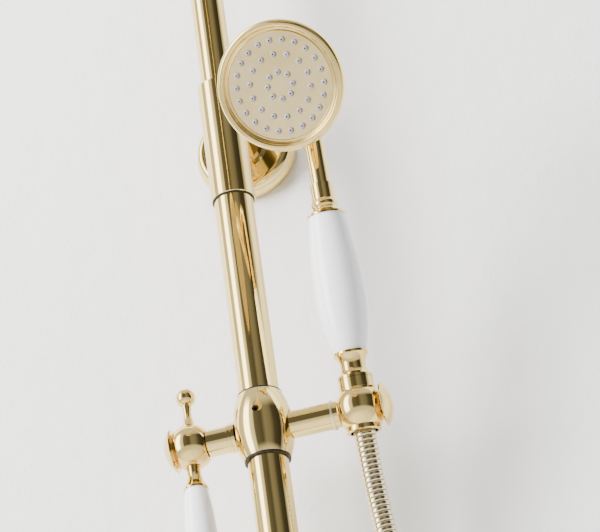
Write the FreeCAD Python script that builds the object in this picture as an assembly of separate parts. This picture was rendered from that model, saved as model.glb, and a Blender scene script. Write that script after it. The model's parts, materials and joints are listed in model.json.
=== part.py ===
"""Rainfall shower column: wall bracket, riser, swan neck, rain rose, slider, handset, hose and bar valve.

Millimetres. The origin is the centre of the upper wall bracket, on the wall plane y = 0. The column
stands in front of the wall, towards -Y, with +Z up and +X to the right of a person who faces it.
"""
import FreeCAD, Part
import math
import os

V = FreeCAD.Vector
UP = V(0, 0, 1)
DOWN = V(0, 0, -1)
RIGHT = V(1, 0, 0)
LEFT = V(-1, 0, 0)
FRONT = V(0, -1, 0)
BACK = V(0, 1, 0)

# ---- overall places -------------------------------------------------------------------------
RISER_TO_WALL = 69.5          # wall to the riser's axis
ARM_Z = -238.0                # height of the slider's cross axis
VALVE_Z = -1045.0             # height of the valve's long axis
ARM_REACH = 400.0             # riser axis to the rose's axis
ARM_BEND = 150.0              # centre-line radius of the swan neck's two bends
ARM_STRAIGHT_TOP = 190.0      # where the swan neck's first bend starts
ARM_DROP = 22.0               # straight end of the swan neck, above the ball nipple
RISER_Y = -RISER_TO_WALL
ROSE_Y = RISER_Y - ARM_REACH

# ---- clearances -----------------------------------------------------------------------------
RUNNING = 0.05                # radial gap of a shaft that turns or slides in its bore
SLIP = 0.1                    # radial gap of a loose pin or screw in its hole
SEAT = 0.15                   # gap at a cone or cup that a loose piece rests in

# ---- tubes ----------------------------------------------------------------------------------
LOWER_D = 25.0
LOWER_WALL = 1.5
TELESCOPE_GAP = 0.2           # radial gap between the upper tube and the lower one
UPPER_WALL = 1.2
LOWER_R = LOWER_D / 2
LOWER_BORE_R = LOWER_R - LOWER_WALL
UPPER_R = LOWER_BORE_R - TELESCOPE_GAP
UPPER_BORE_R = UPPER_R - UPPER_WALL
UPPER_INSERT = 200.0          # how far the upper tube reaches down from the origin's height

# ---- wall bracket ---------------------------------------------------------------------------
FLANGE_R = 33.5
FLANGE_H = 15.0
FLANGE_WALL = 2.2
POST_R = 12.5
POST_WALL = 2.2
PLATE_R = 26.0
PLATE_T = 3.0
BOSS_END = 26.0               # wall to the end of the plate's boss inside the post
GRUB_R = 2.5
GRUB_FROM_WALL = 21.0
SCREW_SPACING = 36.0
SCREW_R = 2.2
SCREW_NECK_R = 1.9             # plain neck between the screw's head and its thread
SCREW_DEPTH = 24.0            # screw length behind the wall plane
SLEEVE_WALL = 1.3
SLEEVE_TOP = 12.5
SLEEVE_BOTTOM = -73.9
SLEEVE_LIP = 3.0
LIP_GAP = 0.3                 # radial gap between the sleeve's top lip and the upper tube
BUSH_H = 12.0
SLEEVE_BORE_R = LOWER_R + RUNNING
SLEEVE_R = SLEEVE_BORE_R + SLEEVE_WALL
RISER_TOP = SLEEVE_TOP - SLEEVE_LIP - BUSH_H

# ---- slip plug under the upper tube ---------------------------------------------------------
PLUG_H = 18.0
PLUG_SPIGOT = 14.0
PLUG_BORE_R = 6.5
ORING_SECTION = 2.0

# ---- rose and its ball joint ----------------------------------------------------------------
BALL_R = 12.0
BALL_NECK_R = 5.0
BALL_GAP = 0.3                # rose's seat to the ball, which the friction ring holds off it
BALL_STEM = 14.0              # ball's top to the end of the swan neck
NIPPLE_FLANGE_WALL = 1.6      # how far the nipple's flange stands out from the tube
RING_T = 1.4
RING_LOW = 88.0                # friction ring's lower edge, in degrees down from the ball's top
ROSE_TILT = 15.0
NUT_WALL = 4.45
NUT_LIP = 1.64                # nut's top above the edge of its ball seat
MOUTH_GAP = 4.6               # free space round the ball's neck, which lets the rose tilt
ROSE_R = 100.0
ROSE_PLATE_T = 2.0
ROSE_INLET_R = 6.0
ROSE_RIM = 32.0               # nut's lower end to the rose's lower rim
ROSE_NOZZLE_R = 1.9
ROSE_RINGS = tuple((13.0 + 14.0 * i, 6 + 6 * i, 0.0) for i in range(6))

# ---- slider ---------------------------------------------------------------------------------
BARREL_END_WALL = 0.8
BARREL_BELLY = 4.3            # how far the barrel's middle stands out past its ends
BARREL_H = 42.6
BARREL_RISE = 1.7             # barrel middle above the cross axis
LINER_WALL = 0.9
LINER_R = LOWER_R + RUNNING + LINER_WALL
BARREL_END_R = LINER_R + RUNNING + BARREL_END_WALL
BARREL_R = BARREL_END_R + BARREL_BELLY
LINER_FLANGE_T = 1.0
SPOTFACE_R = 9.6
SPOTFACE_X = BARREL_R - 1.6
SPIGOT_R = 6.0
STUB_R = 8.5
GLAND_LENGTH = 18.2
GLAND_END = SPOTFACE_X + GLAND_LENGTH
SPINDLE_R = 3.0
PAD_R = 4.0
BEAD_W = 1.8                  # each of the two beads at the gland's foot
GROOVE_W = 0.8
GUIDE_SCREW_R = 2.2
GUIDE_SCREW_RISE = 7.0

# ---- lever family (slider lock and both valve handles) --------------------------------------
HUB_R = 14.2
HUB_OFFSET = 10.7             # gland's end to the lock hub's centre
HUB_X = GLAND_END + HUB_OFFSET
LEVER_SEAT = HUB_R - 1.2      # hub centre to the flats that finial and ferrule sit on
FINIAL_R = 6.1
FINIAL_H = LEVER_SEAT + 21.0
FINIAL_FOOT_R = 4.7
FINIAL_WAIST_R = 2.9
FERRULE_END = LEVER_SEAT + 16.0
FERRULE_FOOT_R = 4.4
FERRULE_R = 7.7
LEVER_LENGTH = 76.0
LEVER_R = 9.7
LEVER_NOSE_R = 5.6
LEVER_NOSE_H = 4.0
ROD_TO_NOSE = 18.0            # porcelain left past the end of the rod's hole
FLAT_R = 5.2                  # flats on the hub under finial and ferrule
ROD_R = 2.5
ROD_END = FERRULE_END + LEVER_LENGTH - ROD_TO_NOSE - 1.0

# ---- handset holder -------------------------------------------------------------------------
ARM_LENGTH = 25.8             # spotface to the holder's washer
ARM_END = SPOTFACE_X + ARM_LENGTH
WASHER_T = 1.2
WASHER_R = 9.3
HOLDER_R = 15.35
HOLDER_NECK = 0.85            # straight boss between the holder's ball and its washer
HOLDER_X = ARM_END + WASHER_T + HOLDER_R + HOLDER_NECK
HOLDER_FLAT = 13.3
LIP_R = 10.8
LIP_END = 14.3
KNOB_R = 13.65
PIVOT_R = 3.0
PIVOT_HEAD_R = 4.8
PIVOT_HEAD_T = 2.2
PIVOT_SEAT = 2.6              # holder wall that the pivot screw's head pulls on
PIVOT_THREAD = 14.8

# ---- handset, along its own axis from the holder ball's centre ------------------------------
HANDSET_LEAN = 14.0           # degrees, top away from the wall
HANDSET_SIDE = 0.9            # degrees, top away from the riser
HANDSET_TURN = -10.5          # degrees about the handset's own axis, face towards the riser
CONE_BOTTOM = -6.8
CONE_BOTTOM_R = 8.4
CONE_TOP_R = 10.7
COLLAR_R = 10.9
COLLAR_BOTTOM = math.sqrt(HOLDER_R ** 2 - CONE_TOP_R ** 2) + 1.0
COLLAR_TOP = COLLAR_BOTTOM + 6.4
THREAD_R = 9.0
CONE_BORE_R = 5.7
TAIL_BORE_R = 4.0
CUP_TOP = COLLAR_TOP + 16.8
CUP_R = 10.8
PORCELAIN_LENGTH = 87.5
PORCELAIN_BOTTOM_R = 9.6
PORCELAIN_R = 15.7
PORCELAIN_TOP_R = 11.2
PORCELAIN_BELLY = 37.0        # widest place above the porcelain's lower end
TIE_R = 5.0
TIE_BORE_R = 3.8
NECK_R = 5.95
NECK_BORE_R = 4.2
NECK_BEND = 22.0
HEAD_FORWARD = 43.0
NECK_RISE = 74.4              # top of the porcelain to the height of the head's centre
HEAD_UP = CUP_TOP + PORCELAIN_LENGTH + NECK_RISE
HEAD_PITCH = 21.0             # degrees, face below the handset's own forward direction
HEAD_R = 40.2
FACE_R = 33.0
FACE_T = 1.7
HEAD_RIM_H = 3.5
HEAD_DEPTH = 12.2
HEAD_NOZZLE_R = 1.87
HEAD_WALL = 1.5
HEAD_RINGS = ((8.2, 8, 6.8), (19.3, 14, -8.8), (27.9, 22, -4.8))

# ---- hose -----------------------------------------------------------------------------------
HOSE_D = 13.5
HOSE_START = -14.8            # along the handset axis
HOSE_R = HOSE_D / 2
HOSE_STRAIGHT = 30.0          # first run, in line with the handset
HOSE_RISE = 68.0              # last run, straight up into the outlet's nut
HOSE_BEND = 0.45              # share of the shorter run that an arc may take
HOSE_ROUTE = ((62.6, -50.5, -330), (65.5, -44, -400), (67, -45.5, -492), (69, -55, -612),
              (73, -75, -745), (78, -98, -868), (84, -117, -970), (90, -126, -1066),
              (95, -127, -1165), (98, -123, -1254), (97.5, -118, -1324), (53, -104, -1375),
              (-10.5, -84, -1375.5), (-54.5, -72, -1331), (-53.5, -70, -1252))

# ---- valve ----------------------------------------------------------------------------------
VALVE_R = 20.5
VALVE_WALL = 3.5
MIXING_R = 11.0
WATERWAY_R = 9.0
VALVE_HALF = 92.0
VALVE_HUB_X = VALVE_HALF + 29.0
VALVE_END_STEP = 2.0          # how far the end collars stand out from the bar
INLET_X = 75.0
INLET_R = 15.0
INLET_FACE = -40.0            # y of the valve inlets' faces
UNION_THREAD_R = 10.4
UNION_DEPTH = 15.0
PORT_R = LOWER_R + 2.5
PORT_H = VALVE_R + 15.5
OUTLET_X = -52.0
OUTLET_R = 12.5
OUTLET_H = VALVE_R + 9.5
NIPPLE_R = 10.4
NIPPLE_BORE_R = 6.0
NIPPLE_END = OUTLET_H + 13.0
NUT_END = OUTLET_H + 22.0
NUT_FLATS = 26.0
UNION_BORE_R = 8.0
UNION_NUT_BACK = 9.4          # nut wall behind the union's lip
UNION_LIP = 4.0
FILTER_T = 1.6
FILTER_BORE_R = 6.0
INLET_FLANGE_R = 30.0
INLET_FLANGE_H = 13.0
INLET_FLANGE_WALL = 2.0
RISER_NUT_WALL = 3.0
RISER_NUT_TOP = PORT_H + 15.5
CARTRIDGE_DEPTH = 42.0
CARTRIDGE_TRIM = 14.0         # how far the cartridge's trim stands out from the bar
HANDLE_SPIGOT_R = 6.0


def solid_of(shape):
    """The shape's only solid, turned outside out if it came out inverted."""
    solid = shape.Solids[0] if shape.Solids else Part.Solid(shape)
    if solid.Volume < 0:
        solid.reverse()
    return solid


def placed(shape, base, axis=UP):
    """A copy with its Z axis along axis and its own origin at base."""
    copy = shape.copy()
    copy.Placement = FreeCAD.Placement(base, FreeCAD.Rotation(UP, axis)).multiply(copy.Placement)
    return copy


def turned(outline, base=V(0, 0, 0), axis=UP):
    """A turned piece. The outline is (radius, height) corners; (r, h, r, h) is an arc's middle and end."""
    edges = []
    last = V(outline[0][0], 0, outline[0][1])
    for corner in list(outline[1:]) + [outline[0][:2]]:
        end = V(corner[-2], 0, corner[-1])
        if len(corner) == 4:
            edges.append(Part.Arc(last, V(corner[0], 0, corner[1]), end).toShape())
        elif last.distanceToPoint(end) > 1e-6:
            edges.append(Part.LineSegment(last, end).toShape())
        last = end
    face = Part.Face(Part.Wire(edges))
    return placed(solid_of(face.revolve(V(0, 0, 0), UP, 360)), base, axis)


def rod(radius, start, end, base=V(0, 0, 0), axis=UP):
    """A plain cylinder between two heights on an axis."""
    return placed(Part.makeCylinder(radius, end - start, V(0, 0, start)), base, axis)


def ring(outer, inner, start, end, base=V(0, 0, 0), axis=UP):
    """A plain tube between two heights on an axis."""
    return rod(outer, start, end, base, axis).cut(rod(inner, start - 1, end + 1, base, axis))


def hexagon(across_flats, start, end, base=V(0, 0, 0), axis=UP):
    """A hexagonal prism with its corners turned off a little."""
    corner = across_flats / math.sqrt(3)
    points = [V(corner * math.cos(math.radians(60 * i)), corner * math.sin(math.radians(60 * i)), start)
              for i in range(7)]
    prism = Part.Face(Part.makePolygon(points)).extrude(V(0, 0, end - start))
    chamfer = corner - across_flats / 2
    blank = turned([(0, start), (across_flats / 2, start), (corner, start + chamfer),
                    (corner, end - chamfer), (across_flats / 2, end), (0, end)])
    return placed(prism.common(blank), base, axis)


def belly(end_r, end_h, top_r, top_h):
    """The middle point of the arc from an outline's end to its widest place, where it runs parallel."""
    drop = top_r - end_r
    run = abs(top_h - end_h)
    radius = (drop * drop + run * run) / (2 * drop)
    sag = radius - math.sqrt(radius * radius - run * run / 4)
    return (top_r - sag, (end_h + top_h) / 2)


def dome(radius, height, apex):
    """A spherical cap on an outline: the arc's middle and its end on the axis."""
    rise = apex - height
    sphere = (radius * radius + rise * rise) / (2 * rise)
    half = math.asin(min(1.0, radius / sphere)) / 2
    return (sphere * math.sin(half), apex - sphere + sphere * math.cos(half), 0, apex)


def path_of(points, radii):
    """A wire of straight runs joined by tangent arcs at the inner points."""
    edges = []
    last = points[0]
    for before, corner, after, radius in zip(points, points[1:], points[2:], radii):
        inward = (before - corner).normalize()
        outward = (after - corner).normalize()
        half = inward.getAngle(outward) / 2
        reach = radius / math.tan(half)
        start = corner + inward * reach
        end = corner + outward * reach
        bisector = (inward + outward).normalize()
        middle = corner + bisector * (radius / math.sin(half) - radius)
        edges.append(Part.LineSegment(last, start).toShape())
        edges.append(Part.Arc(start, middle, end).toShape())
        last = end
    edges.append(Part.LineSegment(last, points[-1]).toShape())
    return Part.Wire(edges)


def swept(radius, points, radii, bore=0.0):
    """A round bar, or a tube where there is a bore, along a path of straight runs and arcs."""
    wire = path_of(points, radii)
    direction = points[1] - points[0]
    section = Part.Face(Part.Wire(Part.Circle(points[0], direction, radius).toShape()))
    if bore:
        hole = Part.Face(Part.Wire(Part.Circle(points[0], direction, bore).toShape()))
        section = section.cut(hole).Faces[0]
    return solid_of(wire.makePipe(section))


def nozzle_places(rings):
    """Centres of the nozzles of a face: evenly spaced on each (radius, count, first angle) ring."""
    places = []
    for radius, count, first in rings:
        for i in range(count):
            angle = math.tau * i / count + math.radians(first)
            places.append(V(radius * math.cos(angle), radius * math.sin(angle), 0))
    return places


def nozzle_sheet(rings, nozzle_r, sheet_r, plate_t, sheet_t, proud):
    """A rubber sheet behind a face plate whose front is at height 0, with a jet through each hole."""
    jet_r = nozzle_r * 0.3
    jets = [turned([(jet_r, plate_t), (nozzle_r, plate_t), (nozzle_r, -proud * 0.3),
                    (nozzle_r * 0.82, -proud * 0.82, jet_r, -proud)], place)
            for place in nozzle_places(rings)]
    holes = [rod(jet_r, plate_t - 1, plate_t + sheet_t + 1, place) for place in nozzle_places(rings)]
    sheet = rod(sheet_r, plate_t, plate_t + sheet_t).cut(Part.makeCompound(holes))
    return sheet.fuse(jets).removeSplitter()


def pierced(plate, rings, hole_r, depth):
    """A face plate with a hole for every nozzle."""
    holes = [rod(hole_r, -1, depth + 1, place) for place in nozzle_places(rings)]
    return plate.cut(Part.makeCompound(holes))


def rosette(radius, height, wall, bore, base):
    """A bell-shaped wall rosette: a full rounded rim, a dished front and an open back."""
    dish = height - 2.0
    outline = [(radius - 1.6, 0), (radius + 0.0, height * 0.3, radius - 1.4, height * 0.68),
               (radius - 3.4, height * 0.95, radius - 7.5, height),
               (bore + 3.0, dish), (bore, dish + 0.6), (bore, dish - wall),
               (radius - 9.0, dish - wall), (radius - 4.6, height * 0.5), (radius - 1.6 - wall, 0)]
    return turned(outline, base, FRONT)


# ---- wall bracket and tubes -----------------------------------------------------------------
def wall_bracket():
    """Rosette, hidden plate with its screws, post, sleeve, grub screw and the bush in the sleeve."""
    wall_point = V(0, 0, 0)
    column = V(0, RISER_Y, 0)
    boss_r = POST_R - POST_WALL - RUNNING
    plate = turned([(0, 0), (PLATE_R, 0), (PLATE_R, PLATE_T), (boss_r, PLATE_T), (boss_r, BOSS_END),
                    (0, BOSS_END)], wall_point, FRONT)
    screws = []
    for side in (-1, 1):
        hole = V(side * SCREW_SPACING / 2, 0, 0)
        plate = plate.cut(rod(SCREW_R, -1, PLATE_T + 1, hole, FRONT))
        screws.append(turned([(0, -SCREW_DEPTH), (SCREW_R - SLIP, 4 - SCREW_DEPTH), (SCREW_R - SLIP, 0),
                              (SCREW_NECK_R, 0), (SCREW_NECK_R, PLATE_T), (SCREW_R * 2, PLATE_T),
                              (SCREW_R * 1.9, PLATE_T + 1.6), (SCREW_R, PLATE_T + 2.6),
                              (0, PLATE_T + 2.6)], hole, FRONT))
    grub_seat = V(0, -GRUB_FROM_WALL, 0)
    grub_hole = rod(GRUB_R, boss_r - 1, POST_R + 2, grub_seat, DOWN)
    sleeve_body = rod(SLEEVE_R, SLEEVE_BOTTOM, SLEEVE_TOP, column)
    post = ring(POST_R, POST_R - POST_WALL, PLATE_T, RISER_TO_WALL, wall_point, FRONT)
    post = solid_of(post.cut(sleeve_body).cut(grub_hole))
    sleeve = turned([(SLEEVE_BORE_R, SLEEVE_BOTTOM), (SLEEVE_R - 0.3, SLEEVE_BOTTOM),
                     (SLEEVE_R, SLEEVE_BOTTOM + 0.3), (SLEEVE_R, SLEEVE_TOP - 0.9),
                     (SLEEVE_R - 1.2, SLEEVE_TOP), (UPPER_R + LIP_GAP, SLEEVE_TOP),
                     (UPPER_R + LIP_GAP, SLEEVE_TOP - SLEEVE_LIP), (SLEEVE_BORE_R, SLEEVE_TOP - SLEEVE_LIP)],
                    column)
    return {
        "wall_flange": rosette(FLANGE_R, FLANGE_H, FLANGE_WALL, POST_R + SLIP, wall_point),
        "bracket_plate": plate,
        "bracket_screws": Part.makeCompound(screws),
        "bracket_post": post,
        "post_grub_screw": rod(GRUB_R, boss_r, POST_R - 0.3, grub_seat, DOWN),
        "bracket_sleeve": sleeve,
        "sleeve_bush": ring(LOWER_R, UPPER_R + RUNNING, RISER_TOP, SLEEVE_TOP - SLEEVE_LIP, column),
        "lower_riser": ring(LOWER_R, LOWER_BORE_R, VALVE_Z + PORT_H, RISER_TOP, column),
    }


def upper_tube():
    """Swan-neck tube with its slip plug, seal rings and ball nipple."""
    column = V(0, RISER_Y, 0)
    bottom = -UPPER_INSERT
    top = ARM_STRAIGHT_TOP + ARM_BEND
    end = V(0, ROSE_Y, ARM_STRAIGHT_TOP - ARM_DROP)
    corners = [V(0, RISER_Y, bottom), V(0, RISER_Y, top), V(0, ROSE_Y, top), end]
    bends = [ARM_BEND, ARM_BEND]
    tube = swept(UPPER_R, corners, bends, UPPER_BORE_R)
    plug_r = LOWER_BORE_R - RUNNING
    groove_r = plug_r - ORING_SECTION
    half = ORING_SECTION / 2
    foot = bottom - PLUG_H
    outline = [(PLUG_BORE_R, foot), (plug_r - 0.6, foot), (plug_r, foot + 0.6)]
    grooves = (bottom - PLUG_H * 2 / 3, bottom - PLUG_H / 3)
    for height in grooves:
        outline += [(plug_r, height - half), (groove_r, height - half),
                    (groove_r, height + half), (plug_r, height + half)]
    outline += [(plug_r, bottom), (UPPER_BORE_R - RUNNING, bottom),
                (UPPER_BORE_R - RUNNING, bottom + PLUG_SPIGOT), (PLUG_BORE_R, bottom + PLUG_SPIGOT)]
    rings = [Part.makeTorus(plug_r - half, half, V(0, RISER_Y, height)) for height in grooves]
    nipple_top = ARM_DROP - 12.0
    tube_end = BALL_R + BALL_STEM
    spigot_r = UPPER_BORE_R - RUNNING
    nipple = turned([(BALL_NECK_R - 2, tube_end + nipple_top), (spigot_r, tube_end + nipple_top),
                     (spigot_r, tube_end), (UPPER_R, tube_end),
                     (UPPER_R + NIPPLE_FLANGE_WALL, tube_end - 1.5),
                     (UPPER_R + NIPPLE_FLANGE_WALL, tube_end - 7.0), (UPPER_R - 1.0, tube_end - 9.5),
                     (BALL_NECK_R, tube_end - 11.0), (BALL_NECK_R, math.sqrt(BALL_R ** 2 - BALL_NECK_R ** 2)),
                     (BALL_R, 0, BALL_NECK_R - 2, -math.sqrt(BALL_R ** 2 - (BALL_NECK_R - 2) ** 2))],
                    end - V(0, 0, tube_end))
    return {
        "slip_plug": turned(outline, column),
        "slip_rings": Part.makeCompound(rings),
        "swan_neck": tube,
        "ball_nipple": nipple,
    }


def rain_rose():
    """Friction ring, ball nut, shell, pierced face and rubber nozzle sheet, hung on the ball."""
    centre = V(0, ROSE_Y, ARM_STRAIGHT_TOP - ARM_DROP - BALL_R - BALL_STEM)
    ring_in = BALL_R + RUNNING
    ring_out = ring_in + RING_T
    nut_in = ring_out + SLIP
    nut_r = nut_in + NUT_WALL
    mouth = BALL_NECK_R + MOUTH_GAP

    def on(radius, degrees):
        """A point of a sphere about the ball's centre, by the angle down from its top."""
        angle = math.radians(degrees)
        return (radius * math.sin(angle), radius * math.cos(angle))

    friction = turned([on(ring_in, 60), on(ring_out, 60), on(ring_out, 74) + on(ring_out, RING_LOW),
                       on(ring_in, RING_LOW), on(ring_in, 74) + on(ring_in, 60)], centre)
    mouth_h = math.sqrt(nut_in ** 2 - mouth ** 2)
    bulge = math.degrees(math.atan2(mouth, mouth_h)) / 2 + 45
    thread = -BALL_R
    nut_top = mouth_h + NUT_LIP
    nut = turned([(nut_in, thread), (nut_r, thread), (nut_r, nut_top - 8.2),
                  (nut_r - 1.6, nut_top - 2.8, mouth + 2.2, nut_top), (mouth, nut_top),
                  (mouth, mouth_h), on(nut_in, bulge) + (nut_in, 0)], centre)
    seat_r = BALL_R + BALL_GAP
    high_turn = RING_LOW + ROSE_TILT + 3
    low_turn = 180 - math.degrees(math.asin(ROSE_INLET_R / seat_r))
    low = on(seat_r, low_turn)
    high = on(seat_r, high_turn)
    between = on(seat_r, (low_turn + high_turn) / 2)
    rim = thread - ROSE_RIM
    seat = rim + 6.0
    edge_in = ROSE_R - 2.4
    shoulder = ROSE_R * 0.4
    slope = ROSE_R * 0.73
    shell = turned([(ROSE_INLET_R, thread - 4), low, between + high,
                    (nut_in - SLIP, high[1]), (nut_in - SLIP, thread), (nut_r - 0.5, thread),
                    (nut_r - 0.5, thread - 3), (nut_r + 3.5, thread - 10, shoulder, rim + 18.5),
                    (slope, rim + 15, ROSE_R - 6, rim + 9.5), (ROSE_R - 0.6, rim + 6.5, ROSE_R, rim + 3),
                    (ROSE_R, rim), (edge_in, rim), (edge_in, seat),
                    (slope - 2, rim + 12.4, shoulder, rim + 16.9),
                    (nut_r, thread - 11.6, ROSE_INLET_R + 4, thread - 5.5)], centre)
    plate_front = rim + 1.2
    face = placed(pierced(rod(edge_in - SLIP, 0, ROSE_PLATE_T), ROSE_RINGS, ROSE_NOZZLE_R + RUNNING,
                          ROSE_PLATE_T), centre + V(0, 0, plate_front))
    sheet = nozzle_sheet(ROSE_RINGS, ROSE_NOZZLE_R, ROSE_R - 8, ROSE_PLATE_T, 1.2, 1.8)
    return {
        "rose_friction_ring": friction,
        "rose_nut": nut,
        "rose_shell": shell,
        "rose_face": face,
        "rose_nozzles": placed(sheet, centre + V(0, 0, plate_front)),
    }


# ---- slider ---------------------------------------------------------------------------------
def slider():
    """Nylon liner, barrel, guide screw, lock gland and pad, and the arm to the holder."""
    cross = V(0, RISER_Y, ARM_Z)
    middle = cross + V(0, 0, BARREL_RISE)
    half = BARREL_H / 2
    liner_in = LOWER_R + RUNNING
    liner_out = LINER_R
    bore = liner_out + RUNNING
    liner_rim = BARREL_END_R - 0.2
    end = half + SLIP
    liner = turned([(liner_in, -end - LINER_FLANGE_T), (liner_rim, -end - LINER_FLANGE_T),
                    (liner_rim, -end), (liner_out, -end), (liner_out, end),
                    (liner_rim, end), (liner_rim, end + LINER_FLANGE_T),
                    (liner_in, end + LINER_FLANGE_T)], middle)
    screw_z = V(0, RISER_Y, ARM_Z + GUIDE_SCREW_RISE)
    screw_hole = rod(GUIDE_SCREW_R, bore - 1, BARREL_R + 2, screw_z, FRONT)
    barrel = turned([(bore, -half), (BARREL_END_R, -half), (BARREL_R, 0, BARREL_END_R, half),
                     (bore, half)], middle)
    for axis in (LEFT, RIGHT):
        barrel = barrel.cut(rod(SPIGOT_R, bore - 2, BARREL_R + 2, cross, axis))
        barrel = barrel.cut(rod(SPOTFACE_R, SPOTFACE_X, BARREL_R + 3, cross, axis))
    barrel = solid_of(barrel.cut(screw_hole))
    spigot_end = liner_out + 0.45
    bead_r = SPOTFACE_R - 0.2
    groove_r = STUB_R - 0.3
    first_end = SPOTFACE_X + BEAD_W
    second = first_end + GROOVE_W
    second_end = second + BEAD_W
    pad_end = SPOTFACE_X - 0.6
    pocket_end = SPOTFACE_X + 1.6
    gland = turned([(PAD_R + SLIP, spigot_end), (SPIGOT_R, spigot_end), (SPIGOT_R, SPOTFACE_X),
                    (bead_r, SPOTFACE_X), (bead_r, first_end), (groove_r, first_end), (groove_r, second),
                    (bead_r - 0.2, second), (bead_r - 0.2, second_end), (groove_r - 0.2, second_end),
                    (groove_r - 0.2, second_end + GROOVE_W), (STUB_R, second_end + GROOVE_W),
                    (STUB_R, GLAND_END - 0.4), (STUB_R - 0.4, GLAND_END), (SPINDLE_R + RUNNING, GLAND_END),
                    (SPINDLE_R + RUNNING, pocket_end), (PAD_R + SLIP, pocket_end)], cross, LEFT)
    pad = rod(PAD_R, liner_out - 1, pad_end, cross, LEFT)
    pad = solid_of(pad.cut(rod(liner_out + RUNNING, -10, 10, cross)))
    tapped = ARM_END - PIVOT_THREAD
    arm = turned([(0, spigot_end), (SPIGOT_R, spigot_end), (SPIGOT_R, SPOTFACE_X), (STUB_R, SPOTFACE_X),
                  (STUB_R, ARM_END), (PIVOT_R + RUNNING, ARM_END), (PIVOT_R + RUNNING, tapped), (0, tapped)],
                 cross, RIGHT)
    head = ARM_END + WASHER_T + PIVOT_SEAT
    pivot = turned([(0, tapped + 0.4), (PIVOT_R, tapped + 0.4), (PIVOT_R, head), (PIVOT_HEAD_R, head),
                    (PIVOT_HEAD_R, head + PIVOT_HEAD_T), (0, head + PIVOT_HEAD_T)], cross, RIGHT)
    return {
        "slider_liner": liner,
        "slider_barrel": barrel,
        "guide_screw": rod(GUIDE_SCREW_R - RUNNING, bore + 0.2, BARREL_R - 1.3, screw_z, FRONT),
        "lock_gland": gland,
        "lock_pad": pad,
        "holder_arm": arm,
        "holder_washer": ring(WASHER_R, PIVOT_R + SLIP, ARM_END, ARM_END + WASHER_T, cross, RIGHT),
        "pivot_screw": pivot,
    }


def finial_outline():
    """Foot, waist and ball of a finial, without its stud."""
    join = FINIAL_H - math.sqrt(FINIAL_R ** 2 - FINIAL_WAIST_R ** 2)
    return [(FINIAL_FOOT_R, LEVER_SEAT), (FINIAL_FOOT_R, LEVER_SEAT + 1.0),
            (3.0, LEVER_SEAT + 5.5, FINIAL_WAIST_R, join - 1.5), (FINIAL_WAIST_R, join),
            (FINIAL_R, FINIAL_H, 0, FINIAL_H + FINIAL_R)]


def ferrule_outline(bore):
    """The flared ferrule between a hub and its porcelain lever."""
    return [(bore, LEVER_SEAT), (FERRULE_FOOT_R, LEVER_SEAT), (4.2, LEVER_SEAT + 2.0),
            (4.9, LEVER_SEAT + 9.0, FERRULE_R, FERRULE_END - 1.0), (FERRULE_R, FERRULE_END),
            (bore, FERRULE_END)]


def porcelain_outline(bore):
    """A porcelain lever with a blind hole for its rod."""
    widest = FERRULE_END + LEVER_LENGTH * 0.45
    end = FERRULE_END + LEVER_LENGTH
    nose_start = end - LEVER_NOSE_H
    lower = belly(FERRULE_R - 0.6, FERRULE_END, LEVER_R, widest)
    upper = belly(LEVER_NOSE_R, nose_start, LEVER_R, widest)
    return [(bore, FERRULE_END), (FERRULE_R - 0.6, FERRULE_END), lower + (LEVER_R, widest),
            upper + (LEVER_NOSE_R, nose_start), dome(LEVER_NOSE_R, nose_start, end),
            (0, end - ROD_TO_NOSE), (bore, end - ROD_TO_NOSE)]


def lock_lever():
    """Spindle, hub, cap, finial, ferrule, rod and porcelain lever of the slider's lock."""
    cross = V(0, RISER_Y, ARM_Z)
    hub_centre = V(-HUB_X, RISER_Y, ARM_Z)
    inner = GLAND_END + 0.3
    outer = HUB_X + 9.5
    inner_r = math.sqrt(HUB_R ** 2 - (HUB_X - inner) ** 2)
    outer_r = math.sqrt(HUB_R ** 2 - (outer - HUB_X) ** 2)
    stem_r = SPINDLE_R + 1.0
    spindle_end = HUB_X + 4.0
    hub = turned([(SPINDLE_R, inner), (inner_r, inner), (HUB_R, HUB_X, outer_r, outer),
                  (stem_r, outer), (stem_r, spindle_end), (SPINDLE_R, spindle_end)], cross, LEFT)
    for axis in (UP, DOWN):
        hub = hub.cut(rod(ROD_R, 5.0, HUB_R + 2, hub_centre, axis))
        hub = hub.cut(rod(FLAT_R, LEVER_SEAT, HUB_R + 2, hub_centre, axis))
    cap = turned([(0, spindle_end + 0.3), (stem_r - RUNNING, spindle_end + 0.3), (stem_r - RUNNING, outer),
                  (outer_r - 0.8, outer), (outer_r - 0.8, outer + 0.5), (KNOB_R - 0.6, outer + 0.5),
                  (KNOB_R, outer + 1.4), dome(KNOB_R, outer + 1.4, outer + 7.0)], cross, LEFT)
    stud = [(0, 6.0), (ROD_R - RUNNING, 6.0), (ROD_R - RUNNING, LEVER_SEAT)]
    return {
        "lock_spindle": rod(SPINDLE_R, SPOTFACE_X - 0.55, spindle_end, cross, LEFT),
        "lever_hub": solid_of(hub),
        "lever_cap": cap,
        "lever_finial": turned(stud + finial_outline(), hub_centre),
        "lever_ferrule": turned(ferrule_outline(ROD_R + RUNNING), hub_centre, DOWN),
        "lever_rod": rod(ROD_R, 5.3, ROD_END, hub_centre, DOWN),
        "lever_porcelain": turned(porcelain_outline(ROD_R + RUNNING), hub_centre, DOWN),
    }


# ---- holder and handset ---------------------------------------------------------------------
def handset_lean():
    """The turn from straight up to the handset's axis."""
    return FreeCAD.Rotation(RIGHT, HANDSET_LEAN).multiply(FreeCAD.Rotation(BACK, HANDSET_SIDE))


def on_handset(shape):
    """Carries a shape from the handset's own frame (Z along it, -Y forward) to its place."""
    turn = handset_lean().multiply(FreeCAD.Rotation(UP, HANDSET_TURN))
    copy = shape.copy()
    copy.Placement = FreeCAD.Placement(V(HOLDER_X, RISER_Y, ARM_Z), turn).multiply(copy.Placement)
    return copy


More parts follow.
